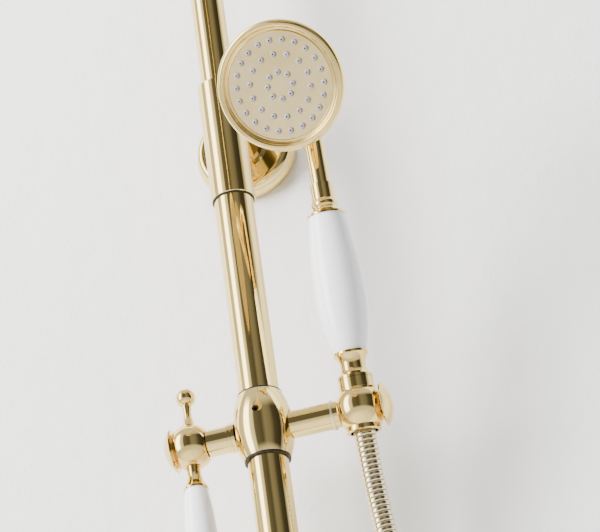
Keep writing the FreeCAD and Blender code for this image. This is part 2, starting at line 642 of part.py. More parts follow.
def cone_radius(height):
    """Outer radius of the cone nut at a height on the handset's axis."""
    share = (height - CONE_BOTTOM) / (COLLAR_BOTTOM - CONE_BOTTOM)
    return CONE_BOTTOM_R + (CONE_TOP_R - CONE_BOTTOM_R) * share


def holder():
    """Ball holder with its cone socket, and the tension knob at its free side."""
    origin = V(0, 0, 0)
    boss_end = HOLDER_X - ARM_END - WASHER_T
    head_seat = boss_end - PIVOT_SEAT
    socket = turned([(0, -HOLDER_R - 2), (CONE_BOTTOM_R + SEAT, -HOLDER_R - 2),
                     (CONE_BOTTOM_R + SEAT, CONE_BOTTOM), (cone_radius(HOLDER_R) + SEAT, HOLDER_R),
                     (0, HOLDER_R)])
    lip = turned([(0, -LIP_END), (LIP_R - 0.6, -LIP_END), (LIP_R, -LIP_END + 0.6), (LIP_R, -6), (0, -6)])
    for shape in (socket, lip):
        shape.Placement = FreeCAD.Placement(origin, handset_lean()).multiply(shape.Placement)
    ball = Part.makeSphere(HOLDER_R).fuse([rod(8.2, HOLDER_R - 6, boss_end, origin, LEFT), lip])
    ball = ball.cut(rod(HOLDER_R, HOLDER_FLAT, HOLDER_R + 5, origin, RIGHT))
    ball = ball.cut(socket)
    ball = ball.cut(rod(PIVOT_R + SLIP, 0, HOLDER_R + 5, origin, LEFT))
    ball = ball.cut(rod(PIVOT_HEAD_R + SLIP, 0, head_seat, origin, LEFT))
    ball = ball.cut(rod(PIVOT_R + SLIP, 0, HOLDER_R, origin, RIGHT))
    centre = V(HOLDER_X, RISER_Y, ARM_Z)
    stem_start = cone_radius(0) + SEAT + 0.5
    face = HOLDER_FLAT + 0.1
    knob = turned([(0, stem_start), (PIVOT_R, stem_start), (PIVOT_R, face), (6.5, face), (6.5, face + 0.8),
                   (KNOB_R - 0.5, face + 0.8), (KNOB_R, face + 1.6), dome(KNOB_R, face + 1.6, face + 6.8)],
                  centre, RIGHT)
    return {"holder_ball": placed(solid_of(ball), centre), "tension_knob": knob}


def handset():
    """Cone nut, ferrules, porcelain, tie tube, bent neck and the four pieces of the head."""
    cup_waist = (CUP_TOP + COLLAR_TOP) / 2 - 0.6
    cone_nut = turned([(CONE_BORE_R, CONE_BOTTOM), (CONE_BOTTOM_R, CONE_BOTTOM), (CONE_TOP_R, COLLAR_BOTTOM),
                       (COLLAR_R, COLLAR_BOTTOM), (COLLAR_R, COLLAR_TOP), (THREAD_R, COLLAR_TOP),
                       (THREAD_R, 2.0), (CONE_BORE_R, 2.0)])
    tail = turned([(TAIL_BORE_R, HOSE_START), (HOSE_R, HOSE_START), (HOSE_R, CONE_BOTTOM - 0.4),
                   (CONE_BORE_R - SLIP, CONE_BOTTOM - 0.4),
                   (CONE_BORE_R - SLIP, 2.1), (THREAD_R - 0.3, 2.1), (THREAD_R - 0.3, 4.1),
                   (TAIL_BORE_R, 4.1)])
    cup = turned([(TIE_R + RUNNING, 4.3), (THREAD_R - RUNNING, 4.3), (THREAD_R - RUNNING, COLLAR_TOP + 0.2),
                  (COLLAR_R, COLLAR_TOP + 0.2), (COLLAR_R, COLLAR_TOP + 1.8),
                  (COLLAR_R - 3.1, cup_waist, CUP_R, CUP_TOP - 1.4), (CUP_R, CUP_TOP),
                  (TIE_R + RUNNING, CUP_TOP)])
    top = CUP_TOP + PORCELAIN_LENGTH
    widest = CUP_TOP + PORCELAIN_BELLY
    bore = TIE_R + 0.4
    porcelain = turned([(bore, CUP_TOP), (PORCELAIN_BOTTOM_R, CUP_TOP),
                        belly(PORCELAIN_BOTTOM_R, CUP_TOP, PORCELAIN_R, widest) + (PORCELAIN_R, widest),
                        belly(PORCELAIN_TOP_R, top, PORCELAIN_R, widest) + (PORCELAIN_TOP_R, top),
                        (bore, top)])
    neck_start = top + 14.6
    neck_top = top + 20.8
    upper = turned([(TIE_R + RUNNING, top), (PORCELAIN_TOP_R + 0.5, top), (PORCELAIN_TOP_R + 0.5, top + 1.2),
                    (8.2, top + 3.4, 7.4, top + 5.0), (8.3, top + 7.4, 7.4, top + 9.8), (7.1, top + 10.6),
                    (7.1, neck_top), (NECK_R + RUNNING, neck_top), (NECK_R + RUNNING, neck_start),
                    (TIE_R + RUNNING, neck_start)])
    pitch = math.radians(HEAD_PITCH)
    out = V(0, -math.cos(pitch), -math.sin(pitch))
    face_centre = V(0, -HEAD_FORWARD, HEAD_UP)
    corner = face_centre - out * (HEAD_FORWARD / math.cos(pitch))
    line = [V(0, 0, neck_start), corner, face_centre - out * HEAD_DEPTH]
    neck = swept(NECK_R, line, [NECK_BEND], NECK_BORE_R)
    inner = HEAD_R - HEAD_WALL
    shell = turned([(NECK_BORE_R, HEAD_DEPTH), (9.0, HEAD_DEPTH), (24.0, HEAD_DEPTH - 1.4),
                    (HEAD_R - 3.6, 8.4, HEAD_R - 0.15, HEAD_RIM_H), (inner, HEAD_RIM_H),
                    (inner - 3.3, 7.2, 23.8, HEAD_DEPTH - 2.8), (NECK_BORE_R, HEAD_DEPTH - 1.6)])
    step = FACE_T + 0.4
    rim = turned([(HEAD_R - 2.6, HEAD_RIM_H), (HEAD_R, HEAD_RIM_H), (HEAD_R, 1.2),
                  (HEAD_R - 0.8, -1.1, HEAD_R - 2.7, -1.8), (HEAD_R - 4.0, -1.5, HEAD_R - 4.6, -0.5),
                  (FACE_R + 1.6, 0.75, FACE_R + 0.05, 0.35), (FACE_R + 0.05, step), (FACE_R - 1.2, step),
                  (FACE_R - 1.2, HEAD_RIM_H)])
    face = placed(pierced(rod(FACE_R, 0, FACE_T), HEAD_RINGS, HEAD_NOZZLE_R + RUNNING, FACE_T), V(0, 0, 0.4))
    sheet = placed(nozzle_sheet(HEAD_RINGS, HEAD_NOZZLE_R, FACE_R - 1.6, FACE_T, 1.1, 1.5), V(0, 0, 0.4))
    head = {"handset_shell": shell, "handset_rim": rim, "handset_face": face, "handset_nozzles": sheet}
    pieces = {"cone_nut": cone_nut, "handset_cup": cup, "handset_porcelain": porcelain,
              "handset_collar": upper, "handset_neck": neck,
              "tie_tube": ring(TIE_R, TIE_BORE_R, 6.0, neck_start - 0.3), "hose_tail": tail}
    pieces.update({name: placed(shape, face_centre, out * -1) for name, shape in head.items()})
    return {name: on_handset(shape) for name, shape in pieces.items()}


# ---- valve ----------------------------------------------------------------------------------
def valve():
    """Bar valve with unions, rosettes, nuts, filters, cartridges, outlet and both lever handles."""
    centre = V(0, RISER_Y, VALVE_Z)
    collar_r = VALVE_R + VALVE_END_STEP
    belly_half = VALVE_HALF / 3
    bar = turned([(0, -VALVE_HALF), (collar_r, -VALVE_HALF), (collar_r, -VALVE_HALF + 6),
                  (VALVE_R, -VALVE_HALF + 8), (VALVE_R, -belly_half - 2), (VALVE_R + 2.5, -belly_half),
                  (VALVE_R + 6.5, 0, VALVE_R + 2.5, belly_half), (VALVE_R, belly_half + 2),
                  (VALVE_R, VALVE_HALF - 8), (collar_r, VALVE_HALF - 6), (collar_r, VALVE_HALF),
                  (0, VALVE_HALF)], centre, RIGHT)
    outlet = centre + V(OUTLET_X, 0, 0)
    inlets = [centre + V(side * INLET_X, 0, 0) for side in (-1, 1)]
    inlet_end = INLET_FACE - RISER_Y
    body = bar.fuse([rod(PORT_R - SLIP, 0, PORT_H, centre), rod(OUTLET_R, 0, OUTLET_H, outlet, DOWN)]
                    + [rod(INLET_R - SLIP, 0, inlet_end, inlet, BACK) for inlet in inlets])
    cartridge_r = VALVE_R - VALVE_WALL
    for axis in (LEFT, RIGHT):
        body = body.cut(rod(cartridge_r, VALVE_HALF - CARTRIDGE_DEPTH, VALVE_HALF + 1, centre, axis))
    mixing = rod(MIXING_R, -INLET_X + PORT_R, INLET_X - PORT_R, centre, RIGHT)
    waterways = [rod(WATERWAY_R, 0, PORT_H + 1, centre), rod(UNION_BORE_R, 0, OUTLET_H + 1, outlet, DOWN)]
    waterways += [rod(WATERWAY_R, cartridge_r - 1, inlet_end + 1, inlet, BACK) for inlet in inlets]
    body = solid_of(body.cut(mixing).cut(Part.makeCompound(waterways)))
    wall_x = [V(side * INLET_X, 0, VALVE_Z) for side in (-1, 1)]
    union_end = -INLET_FACE - FILTER_T
    lip = union_end - UNION_LIP
    nut_back = lip - UNION_NUT_BACK
    nut_front = RISER_TO_WALL - VALVE_R - VALVE_END_STEP - 0.3
    tube_r = UNION_THREAD_R + 0.5
    unions = [turned([(UNION_BORE_R, -UNION_DEPTH), (UNION_THREAD_R, -UNION_DEPTH), (UNION_THREAD_R, 0),
                      (tube_r, 0), (tube_r, lip), (INLET_R - 1, lip),
                      (INLET_R - 1, union_end), (UNION_BORE_R, union_end)], spot, FRONT) for spot in wall_x]
    nuts = []
    for spot in wall_x:
        nut = hexagon(INLET_R * 2 + 6, nut_back, nut_front, spot, FRONT)
        nut = nut.cut(rod(INLET_R, lip - SLIP, nut_front + 1, spot, FRONT))
        nuts.append(nut.cut(rod(tube_r + SLIP, 0, nut_front + 1, spot, FRONT)))
    filters = [ring(INLET_R - 1, FILTER_BORE_R, union_end, -INLET_FACE, spot, FRONT) for spot in wall_x]
    nut_r = PORT_R + RISER_NUT_WALL
    riser_nut = turned([(PORT_R, PORT_H - 7.4), (nut_r, PORT_H - 7.4), (nut_r, RISER_NUT_TOP - 7.5),
                        (PORT_R + 0.5, RISER_NUT_TOP - 1.5), (LOWER_R + 1.6, RISER_NUT_TOP),
                        (LOWER_R + SLIP, RISER_NUT_TOP), (LOWER_R + SLIP, PORT_H + SLIP),
                        (PORT_R, PORT_H + SLIP)], centre)
    spigot = OUTLET_H - 9
    nipple = turned([(NIPPLE_BORE_R, spigot), (UNION_BORE_R - RUNNING, spigot),
                     (UNION_BORE_R - RUNNING, OUTLET_H), (OUTLET_R, OUTLET_H), (OUTLET_R, OUTLET_H + 3),
                     (NIPPLE_R, OUTLET_H + 3), (NIPPLE_R, NIPPLE_END), (NIPPLE_BORE_R, NIPPLE_END)],
                    outlet, DOWN)
    hose_nut = hexagon(NUT_FLATS, OUTLET_H + 5, NUT_END, outlet, DOWN)
    hose_nut = hose_nut.cut(rod(NIPPLE_R + SLIP, OUTLET_H + 4, NIPPLE_END + 0.2, outlet, DOWN))
    hose_nut = hose_nut.cut(rod(NIPPLE_BORE_R - 1, OUTLET_H, NUT_END + 1, outlet, DOWN))
    flanges = [rosette(INLET_FLANGE_R, INLET_FLANGE_H, INLET_FLANGE_WALL, tube_r + SLIP, spot)
               for spot in wall_x]
    pieces = {
        "valve_body": body,
        "inlet_unions": Part.makeCompound(unions),
        "inlet_flanges": Part.makeCompound(flanges),
        "union_nuts": Part.makeCompound([solid_of(nut) for nut in nuts]),
        "inlet_filters": Part.makeCompound(filters),
        "riser_nut": riser_nut,
        "outlet_nipple": nipple,
        "hose_nut": solid_of(hose_nut),
    }
    spigot_start = VALVE_HALF - 6
    trim_end = VALVE_HALF + CARTRIDGE_TRIM
    for side, name in ((LEFT, "flow"), (RIGHT, "heat")):
        pieces[name + "_cartridge"] = turned(
            [(0, VALVE_HALF - CARTRIDGE_DEPTH + 2), (cartridge_r - SLIP, VALVE_HALF - CARTRIDGE_DEPTH + 2),
             (cartridge_r - SLIP, VALVE_HALF), (VALVE_R + 1, VALVE_HALF), (VALVE_R + 1, VALVE_HALF + 3),
             (VALVE_R * 0.71, VALVE_HALF + 5.5, VALVE_R * 0.56, trim_end),
             (HANDLE_SPIGOT_R + RUNNING, trim_end),
             (HANDLE_SPIGOT_R + RUNNING, spigot_start), (0, spigot_start)], centre, side)
        pieces.update(valve_handle(name, centre, side, spigot_start + 0.3, trim_end + 0.3))
    return pieces


def valve_handle(name, centre, side, spigot_start, inner):
    """A lever handle: one brass casting with finial, ferrule and stud, and its porcelain lever."""
    hub_r = HUB_R + 1.0
    outer = VALVE_HUB_X + 10.5
    inner_r = math.sqrt(hub_r ** 2 - (VALVE_HUB_X - inner) ** 2)
    outer_r = math.sqrt(hub_r ** 2 - (outer - VALVE_HUB_X) ** 2)
    hub = turned([(0, spigot_start), (HANDLE_SPIGOT_R, spigot_start), (HANDLE_SPIGOT_R, inner),
                  (inner_r, inner), (hub_r, VALVE_HUB_X, outer_r, outer), (outer_r - 1.2, outer + 0.2),
                  (outer_r - 1.2, outer + 0.8), (KNOB_R - 0.4, outer + 0.8), (KNOB_R, outer + 1.8),
                  dome(KNOB_R, outer + 1.8, outer + 7.4)], centre, side)
    hub_centre = centre + side * VALVE_HUB_X
    finial = turned([(0, 0), (FINIAL_FOOT_R, 0)] + finial_outline(), hub_centre, BACK)
    stud = rod(ROD_R, 0, ROD_END, hub_centre, FRONT)
    root = LEVER_SEAT - 6
    ferrule = turned([(0, root), (FERRULE_FOOT_R, root)] + ferrule_outline(0)[1:], hub_centre, FRONT)
    return {
        name + "_handle": solid_of(hub.fuse([finial, stud, ferrule])),
        name + "_porcelain": turned(porcelain_outline(ROD_R + RUNNING), hub_centre, FRONT),
    }


# ---- hose -----------------------------------------------------------------------------------
def hose():
    """The metal hose: down from the handset, past the valve's front, and up into the outlet."""
    along = handset_lean().multVec(DOWN)
    ball = V(HOLDER_X, RISER_Y, ARM_Z)
    start = ball - along * HOSE_START
    end = V(OUTLET_X, RISER_Y, VALVE_Z - NUT_END)
    points = [start, start + along * HOSE_STRAIGHT] + [V(*point) for point in HOSE_ROUTE]
    points += [end - V(0, 0, HOSE_RISE), end]
    radii = []
    for before, corner, after in zip(points, points[1:], points[2:]):
        turn = (corner - before).getAngle(after - corner)
        shorter = min((corner - before).Length, (after - corner).Length)
        radii.append(HOSE_BEND * shorter / math.tan(turn / 2))
    wire = path_of(points, radii)
    tube = swept(HOSE_R, points, radii)
    expected = math.pi * HOSE_R ** 2 * wire.Length
    print("hose length %.1f, volume ratio %.5f" % (wire.Length, tube.Volume / expected))
    print("hose radii", [round(radius) for radius in radii])
    print("hose runs", [round((b - a).Length) for a, b in zip(points, points[1:])])
    return {"shower_hose": tube}


def main():
    """Builds every node and writes one STEP file for each."""
    os.makedirs("parts", exist_ok=True)
    nodes = {}
    for build in (wall_bracket, upper_tube, rain_rose, slider, lock_lever, holder, handset, valve, hose):
        nodes.update(build())
    for name, shape in nodes.items():
        if not shape.isValid():
            print("not valid:", name)
        shape.exportStep("parts/%s.step" % name)
    print(len(nodes), "nodes")


main()
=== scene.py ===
"""Looks of the rainfall shower column: polished brass, porcelain grips, a spiral hose and a studio."""

import json
import logging
import math
from dataclasses import dataclass
from enum import Enum
from typing import Iterable, Mapping, Sequence, Union

import bpy
from mathutils import Matrix, Vector
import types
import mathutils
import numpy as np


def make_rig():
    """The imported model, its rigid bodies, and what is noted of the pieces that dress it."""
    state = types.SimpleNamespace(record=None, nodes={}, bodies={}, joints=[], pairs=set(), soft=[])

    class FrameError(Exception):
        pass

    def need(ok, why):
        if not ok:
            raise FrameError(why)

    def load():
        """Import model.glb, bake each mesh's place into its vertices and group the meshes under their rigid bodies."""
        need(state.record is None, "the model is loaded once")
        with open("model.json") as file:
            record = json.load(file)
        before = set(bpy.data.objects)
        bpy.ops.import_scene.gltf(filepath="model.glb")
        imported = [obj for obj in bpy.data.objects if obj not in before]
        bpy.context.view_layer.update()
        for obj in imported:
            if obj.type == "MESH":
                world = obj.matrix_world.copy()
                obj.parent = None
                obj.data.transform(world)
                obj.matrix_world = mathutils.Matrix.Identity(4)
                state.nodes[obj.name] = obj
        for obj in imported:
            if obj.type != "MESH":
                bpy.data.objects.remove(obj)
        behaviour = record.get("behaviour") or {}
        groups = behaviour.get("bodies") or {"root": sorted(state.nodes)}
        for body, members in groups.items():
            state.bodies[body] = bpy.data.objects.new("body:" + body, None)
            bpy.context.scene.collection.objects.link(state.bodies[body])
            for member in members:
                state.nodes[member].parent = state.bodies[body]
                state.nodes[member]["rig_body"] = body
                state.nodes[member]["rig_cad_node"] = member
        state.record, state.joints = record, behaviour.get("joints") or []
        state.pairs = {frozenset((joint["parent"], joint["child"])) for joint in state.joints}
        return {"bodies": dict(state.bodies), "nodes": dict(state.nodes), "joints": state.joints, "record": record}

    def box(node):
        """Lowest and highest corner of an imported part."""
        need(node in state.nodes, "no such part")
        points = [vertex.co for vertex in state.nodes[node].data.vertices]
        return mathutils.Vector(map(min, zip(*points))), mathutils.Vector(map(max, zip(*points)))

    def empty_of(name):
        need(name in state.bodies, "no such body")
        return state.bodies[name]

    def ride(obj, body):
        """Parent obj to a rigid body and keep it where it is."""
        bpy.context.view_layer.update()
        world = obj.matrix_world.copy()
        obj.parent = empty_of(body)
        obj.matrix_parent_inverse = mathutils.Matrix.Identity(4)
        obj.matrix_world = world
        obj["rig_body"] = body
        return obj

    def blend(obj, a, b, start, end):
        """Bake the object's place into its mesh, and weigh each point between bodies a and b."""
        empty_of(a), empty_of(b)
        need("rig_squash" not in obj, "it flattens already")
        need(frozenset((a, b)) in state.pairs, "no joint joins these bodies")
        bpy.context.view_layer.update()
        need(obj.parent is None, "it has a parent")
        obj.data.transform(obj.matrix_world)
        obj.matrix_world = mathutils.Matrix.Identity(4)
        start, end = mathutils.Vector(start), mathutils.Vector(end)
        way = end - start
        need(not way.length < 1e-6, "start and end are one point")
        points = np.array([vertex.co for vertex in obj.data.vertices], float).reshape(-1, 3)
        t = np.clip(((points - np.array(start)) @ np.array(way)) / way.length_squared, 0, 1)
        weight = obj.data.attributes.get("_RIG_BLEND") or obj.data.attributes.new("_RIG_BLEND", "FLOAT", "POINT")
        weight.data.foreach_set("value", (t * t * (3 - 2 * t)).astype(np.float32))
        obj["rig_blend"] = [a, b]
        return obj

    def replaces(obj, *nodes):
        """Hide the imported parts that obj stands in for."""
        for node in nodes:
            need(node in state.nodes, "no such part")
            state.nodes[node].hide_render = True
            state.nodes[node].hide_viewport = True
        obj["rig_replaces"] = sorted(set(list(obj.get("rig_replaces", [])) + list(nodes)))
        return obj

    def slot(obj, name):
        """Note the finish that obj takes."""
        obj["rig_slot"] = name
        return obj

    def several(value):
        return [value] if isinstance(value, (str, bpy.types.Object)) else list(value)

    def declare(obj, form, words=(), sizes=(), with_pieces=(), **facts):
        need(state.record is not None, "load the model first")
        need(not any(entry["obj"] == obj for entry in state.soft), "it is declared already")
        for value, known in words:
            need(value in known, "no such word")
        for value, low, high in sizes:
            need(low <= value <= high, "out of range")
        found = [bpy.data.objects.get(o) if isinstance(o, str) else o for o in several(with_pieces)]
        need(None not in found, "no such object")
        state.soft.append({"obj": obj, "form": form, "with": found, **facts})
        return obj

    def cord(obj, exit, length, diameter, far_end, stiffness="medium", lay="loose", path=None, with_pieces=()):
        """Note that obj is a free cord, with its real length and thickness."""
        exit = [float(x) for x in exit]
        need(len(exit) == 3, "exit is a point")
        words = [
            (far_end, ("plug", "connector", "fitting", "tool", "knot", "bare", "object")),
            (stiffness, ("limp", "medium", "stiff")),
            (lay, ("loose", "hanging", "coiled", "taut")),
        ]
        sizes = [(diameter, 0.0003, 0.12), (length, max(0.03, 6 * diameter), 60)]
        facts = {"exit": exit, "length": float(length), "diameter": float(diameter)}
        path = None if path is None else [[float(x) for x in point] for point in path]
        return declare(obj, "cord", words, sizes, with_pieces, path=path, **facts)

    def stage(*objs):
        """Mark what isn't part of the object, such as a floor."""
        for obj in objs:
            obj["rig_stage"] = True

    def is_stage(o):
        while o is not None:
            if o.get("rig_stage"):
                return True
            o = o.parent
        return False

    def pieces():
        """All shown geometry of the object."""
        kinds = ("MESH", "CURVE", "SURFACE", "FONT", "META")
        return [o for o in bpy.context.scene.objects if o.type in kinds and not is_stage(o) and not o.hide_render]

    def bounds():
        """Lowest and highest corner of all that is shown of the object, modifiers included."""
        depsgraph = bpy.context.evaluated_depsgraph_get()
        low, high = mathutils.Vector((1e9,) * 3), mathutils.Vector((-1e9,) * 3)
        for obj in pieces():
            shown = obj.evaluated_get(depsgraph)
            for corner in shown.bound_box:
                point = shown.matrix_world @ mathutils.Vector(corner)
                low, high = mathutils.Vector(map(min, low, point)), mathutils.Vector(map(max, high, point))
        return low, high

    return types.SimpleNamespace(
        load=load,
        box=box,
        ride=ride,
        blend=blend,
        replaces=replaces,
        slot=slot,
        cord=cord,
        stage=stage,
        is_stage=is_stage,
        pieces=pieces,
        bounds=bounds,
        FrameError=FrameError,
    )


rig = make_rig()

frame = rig.load()

LOG = logging.getLogger("shower_column")
SIZE_FILE = "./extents.json"
Colour = tuple[float, float, float]
Point = tuple[float, float, float]
Band = tuple[float, float]
Outline = Sequence[tuple[float, float]]

UP = Vector((0, 0, 1))
DOWN = Vector((0, 0, -1))
INTO_WALL = Vector((0, 1, 0))
OUT_OF_WALL = Vector((0, -1, 0))
METAL = {"Metallic": 1.0}
# Degrees between two faces from which their shared edge stays crisp.
PART_CREASE = 32.0
PIECE_CREASE = 35.0
# Steps round a turned piece and round a small screw.
TURN_STEPS = 96
SCREW_STEPS = 48
# A key screw's chamfer and the depth of its pit, as shares of its radius.
SCREW_CHAMFER = 0.16
PIT_DEPTH = 0.9


# ---- shader maths ---------------------------------------------------------------------------
class Reading:
    """A number that changes over a surface: one output socket, with arithmetic that adds Math nodes."""

    def __init__(self, sheet: "NodeSheet", socket: bpy.types.NodeSocket) -> None:
        """Wraps an output socket of a sheet's node tree."""
        self.sheet = sheet
        self.socket = socket

    def __add__(self, other: "Number") -> "Reading":
        """Sum of this reading and another number."""
        return self.sheet.sum_up("ADD", self, other)

    def __rsub__(self, other: "Number") -> "Reading":
        """Another number less this reading."""
        return self.sheet.sum_up("SUBTRACT", other, self)

    def __mul__(self, other: "Number") -> "Reading":
        """Product of this reading and another number."""
        return self.sheet.sum_up("MULTIPLY", self, other)

    def over(self, low: float, high: float) -> "Reading":
        """A soft step that is 0 below low and 1 above high.

        Args:
            low: value of this reading where the step starts.
            high: value where it ends.

        Returns:
            The step as a new reading.
        """
        made = self.sheet.add("ShaderNodeMapRange", {"interpolation_type": "SMOOTHSTEP"},
                              {"Value": self, "From Min": low, "From Max": high})
        return self.sheet.read(made, "Result")


Number = Union[Reading, float]
Feed = Union[Reading, bpy.types.NodeSocket, float, Sequence[float]]


@dataclass(frozen=True)
class Mottle:
    """A soft irregular pattern on a surface.

    per_metre is how many blotches fit in a metre, detail how many finer layers it holds, stretch how it is
    squeezed along X, Y and Z, and band where a soft step through it starts and ends.
    """

    per_metre: float
    detail: float = 3.0
    stretch: Point = (1.0, 1.0, 1.0)
    band: Band | None = None


class NodeSheet:
    """The nodes of one material or world, emptied and ready to be laid out."""

    def __init__(self, owner: Union[bpy.types.Material, bpy.types.World], output_kind: str) -> None:
        """Empties the owner's nodes and adds its output node."""
        owner.use_nodes = True
        self.owner = owner
        self.tree = owner.node_tree
        self.tree.nodes.clear()
        self.output = self.add(output_kind)

    @classmethod
    def for_material(cls, name: str) -> "NodeSheet":
        """A sheet for a new material."""
        return cls(bpy.data.materials.new(name), "ShaderNodeOutputMaterial")

    @classmethod
    def for_world(cls, name: str) -> "NodeSheet":
        """A sheet for a new world."""
        return cls(bpy.data.worlds.new(name), "ShaderNodeOutputWorld")

    def add(self, kind: str, settings: Mapping[str, object] | None = None,
            feeds: Mapping[str, Feed] | None = None) -> bpy.types.Node:
        """Adds a node of any type.

        Args:
            kind: the node's type name.
            settings: properties to set first; "stops" holds a ramp's (place, colour) pairs.
            feeds: values or links of its sockets, by identifier or name.

        Returns:
            The new node.
        """
        made = self.tree.nodes.new(kind)
        for key, value in (settings or {}).items():
            if key == "stops":
                self._set_stops(made, value)
            else:
                setattr(made, key, value)
        for key, value in (feeds or {}).items():
            self.feed(self._socket(made.inputs, key), value)
        return made

    def read(self, made: bpy.types.Node, name: str) -> Reading:
        """One output of a node as a reading."""
        return Reading(self, self._socket(made.outputs, name))

    def feed(self, socket: bpy.types.NodeSocket, value: Feed) -> None:
        """Links a socket to a reading or another socket, or sets its value.

        Args:
            socket: the input socket.
            value: what it takes; a colour may leave out its alpha.
        """
        if isinstance(value, Reading):
            self.tree.links.new(value.socket, socket)
        elif isinstance(value, bpy.types.NodeSocket):
            self.tree.links.new(value, socket)
        elif isinstance(value, (int, float)) or len(value) == len(socket.default_value):
            socket.default_value = value
        else:
            socket.default_value = (*value, 1.0)

    def sum_up(self, operation: str, first: Number, second: Number) -> Reading:
        """One Math node on two numbers.

        Args:
            operation: the node's operation.
            first: a number or a reading.
            second: a number or a reading.

        Returns:
            The result as a reading.
        """
        made = self.add("ShaderNodeMath", {"operation": operation})
        self.feed(made.inputs[0], first)
        self.feed(made.inputs[1], second)
        return self.read(made, "Value")

    def blend(self, share: Number, first: Feed, second: Feed) -> bpy.types.NodeSocket:
        """A colour between two others.

        Args:
            share: 0 gives the first colour and 1 the second.
            first: a colour or a colour socket.
            second: a colour or a colour socket.

        Returns:
            The mixed colour's socket.
        """
        made = self.add("ShaderNodeMix", {"data_type": "RGBA"},
                        {"Factor_Float": share, "A_Color": first, "B_Color": second})
        return self._socket(made.outputs, "Result_Color")

    def place(self) -> bpy.types.NodeSocket:
        """The point on the surface, in metres."""
        return self.add("ShaderNodeTexCoord").outputs["Object"]

    def cloud(self, mottle: Mottle) -> Reading:
        """Soft irregular noise from 0 to 1.

        Args:
            mottle: the pattern's fineness, stretch and band.

        Returns:
            The noise, or the soft step across its band where it has one.
        """
        scaled = self.add("ShaderNodeMapping", None, {"Vector": self.place(), "Scale": mottle.stretch})
        made = self.add("ShaderNodeTexNoise", None, {"Vector": scaled.outputs["Vector"],
                                                     "Scale": mottle.per_metre, "Detail": mottle.detail})
        noise = self.read(made, "Fac")
        return noise if mottle.band is None else noise.over(*mottle.band)

    def lathe_rings(self, per_metre: float, direction: str, wobble: float) -> Reading:
        """Fine even lines across one axis, as a cutting tool leaves them.

        Args:
            per_metre: how fine they are.
            direction: the axis, X, Y or Z.
            wobble: how far they stray from straight.

        Returns:
            The lines as a reading.
        """
        made = self.add("ShaderNodeTexWave", {"wave_type": "BANDS", "bands_direction": direction},
                        {"Vector": self.place(), "Scale": per_metre, "Distortion": wobble})
        return self.read(made, "Fac")

    def surface(self, colour: Feed, roughness: Number, relief: Reading | None = None,
                relief_m: float = 0.0, constants: Mapping[str, Feed] | None = None) -> bpy.types.Material:
        """Finishes the sheet with one Principled shader.

        Args:
            colour: base colour or its socket.
            roughness: a number or a reading.
            relief: height of the fine relief, from 0 to 1.
            relief_m: the relief's depth in metres.
            constants: other sockets of the shader with one value each.

        Returns:
            The material.
        """
        feeds = {"Base Color": colour, "Roughness": roughness, **(constants or {})}
        if relief is not None:
            bump = self.add("ShaderNodeBump", None, {"Height": relief, "Distance": relief_m, "Strength": 1.0})
            feeds["Normal"] = bump.outputs["Normal"]
        shader = self.add("ShaderNodeBsdfPrincipled", None, feeds)
        self.tree.links.new(shader.outputs["BSDF"], self.output.inputs["Surface"])
        return self.owner

    @staticmethod
    def _socket(sockets: Iterable[bpy.types.NodeSocket], key: str) -> bpy.types.NodeSocket:
        """The socket with that identifier, or else with that name."""
        held = list(sockets)
        return next((s for s in held if s.identifier == key), None) or next(s for s in held if s.name == key)

    @staticmethod
    def _set_stops(ramp_node: bpy.types.Node, stops: Sequence[tuple[float, Colour]]) -> None:
        """Gives a colour ramp its stops.

        Args:
            ramp_node: the ramp's node.
            stops: places from 0 to 1 with their colours.
        """
        ramp = ramp_node.color_ramp
        while len(ramp.elements) < len(stops):
            ramp.elements.new(0.5)
        for element, (place, colour) in zip(ramp.elements, stops):
            element.position = place
            element.color = (*colour, 1.0)


# ---- finishes -------------------------------------------------------------------------------
# A dulling is what a pattern adds to the roughness, a share how strongly its colour shows, and a
# value that ends in _m is the depth of the fine relief in metres.
@dataclass(frozen=True)
class PolishedMetal:
    """Metal buffed to a mirror, with faint smears, tarnish in patches and a slightly wavy skin."""

    name: str
    colour: Colour = (0.83, 0.63, 0.24)
    tarnish: Colour = (0.75, 0.53, 0.17)
    roughness: float = 0.045
    smear: float = 0.07
    wave_m: float = 0.00003
    tarnish_share: float = 0.55
    spot_dulling: float = 0.05
    patches: Mottle = Mottle(26.0, 4.0, band=(0.42, 0.78))
    wipes: Mottle = Mottle(70.0, 5.0, (1.0, 1.0, 0.35), (0.48, 0.8))
    spots: Mottle = Mottle(420.0, 2.0, band=(0.66, 0.74))
    skin: Mottle = Mottle(85.0, 2.0)

    def material(self) -> bpy.types.Material:
        """Makes the finish."""
        sheet = NodeSheet.for_material(self.name)
        colour = sheet.blend(sheet.cloud(self.patches) * self.tarnish_share, self.colour, self.tarnish)
        roughness = (sheet.cloud(self.wipes) * self.smear + sheet.cloud(self.spots) * self.spot_dulling
                     + self.roughness)
        return sheet.surface(colour, roughness, sheet.cloud(self.skin), self.wave_m, METAL)


@dataclass(frozen=True)
class SatinMetal:
    """Plated metal with a fine satin skin, as on spray faces."""

    name: str
    colour: Colour = (0.86, 0.69, 0.35)
    shade: Colour = (0.78, 0.60, 0.27)
    roughness: float = 0.24
    haze_dulling: float = 0.12
    grain_m: float = 0.000012
    patches: Mottle = Mottle(34.0, 3.0, band=(0.35, 0.75))
    haze: Mottle = Mottle(60.0, 4.0)
    grain: Mottle = Mottle(2600.0, 2.0)

    def material(self) -> bpy.types.Material:
        """Makes the finish."""
        sheet = NodeSheet.for_material(self.name)
        colour = sheet.blend(sheet.cloud(self.patches), self.colour, self.shade)
        roughness = sheet.cloud(self.haze) * self.haze_dulling + self.roughness
        return sheet.surface(colour, roughness, sheet.cloud(self.grain), self.grain_m, METAL)


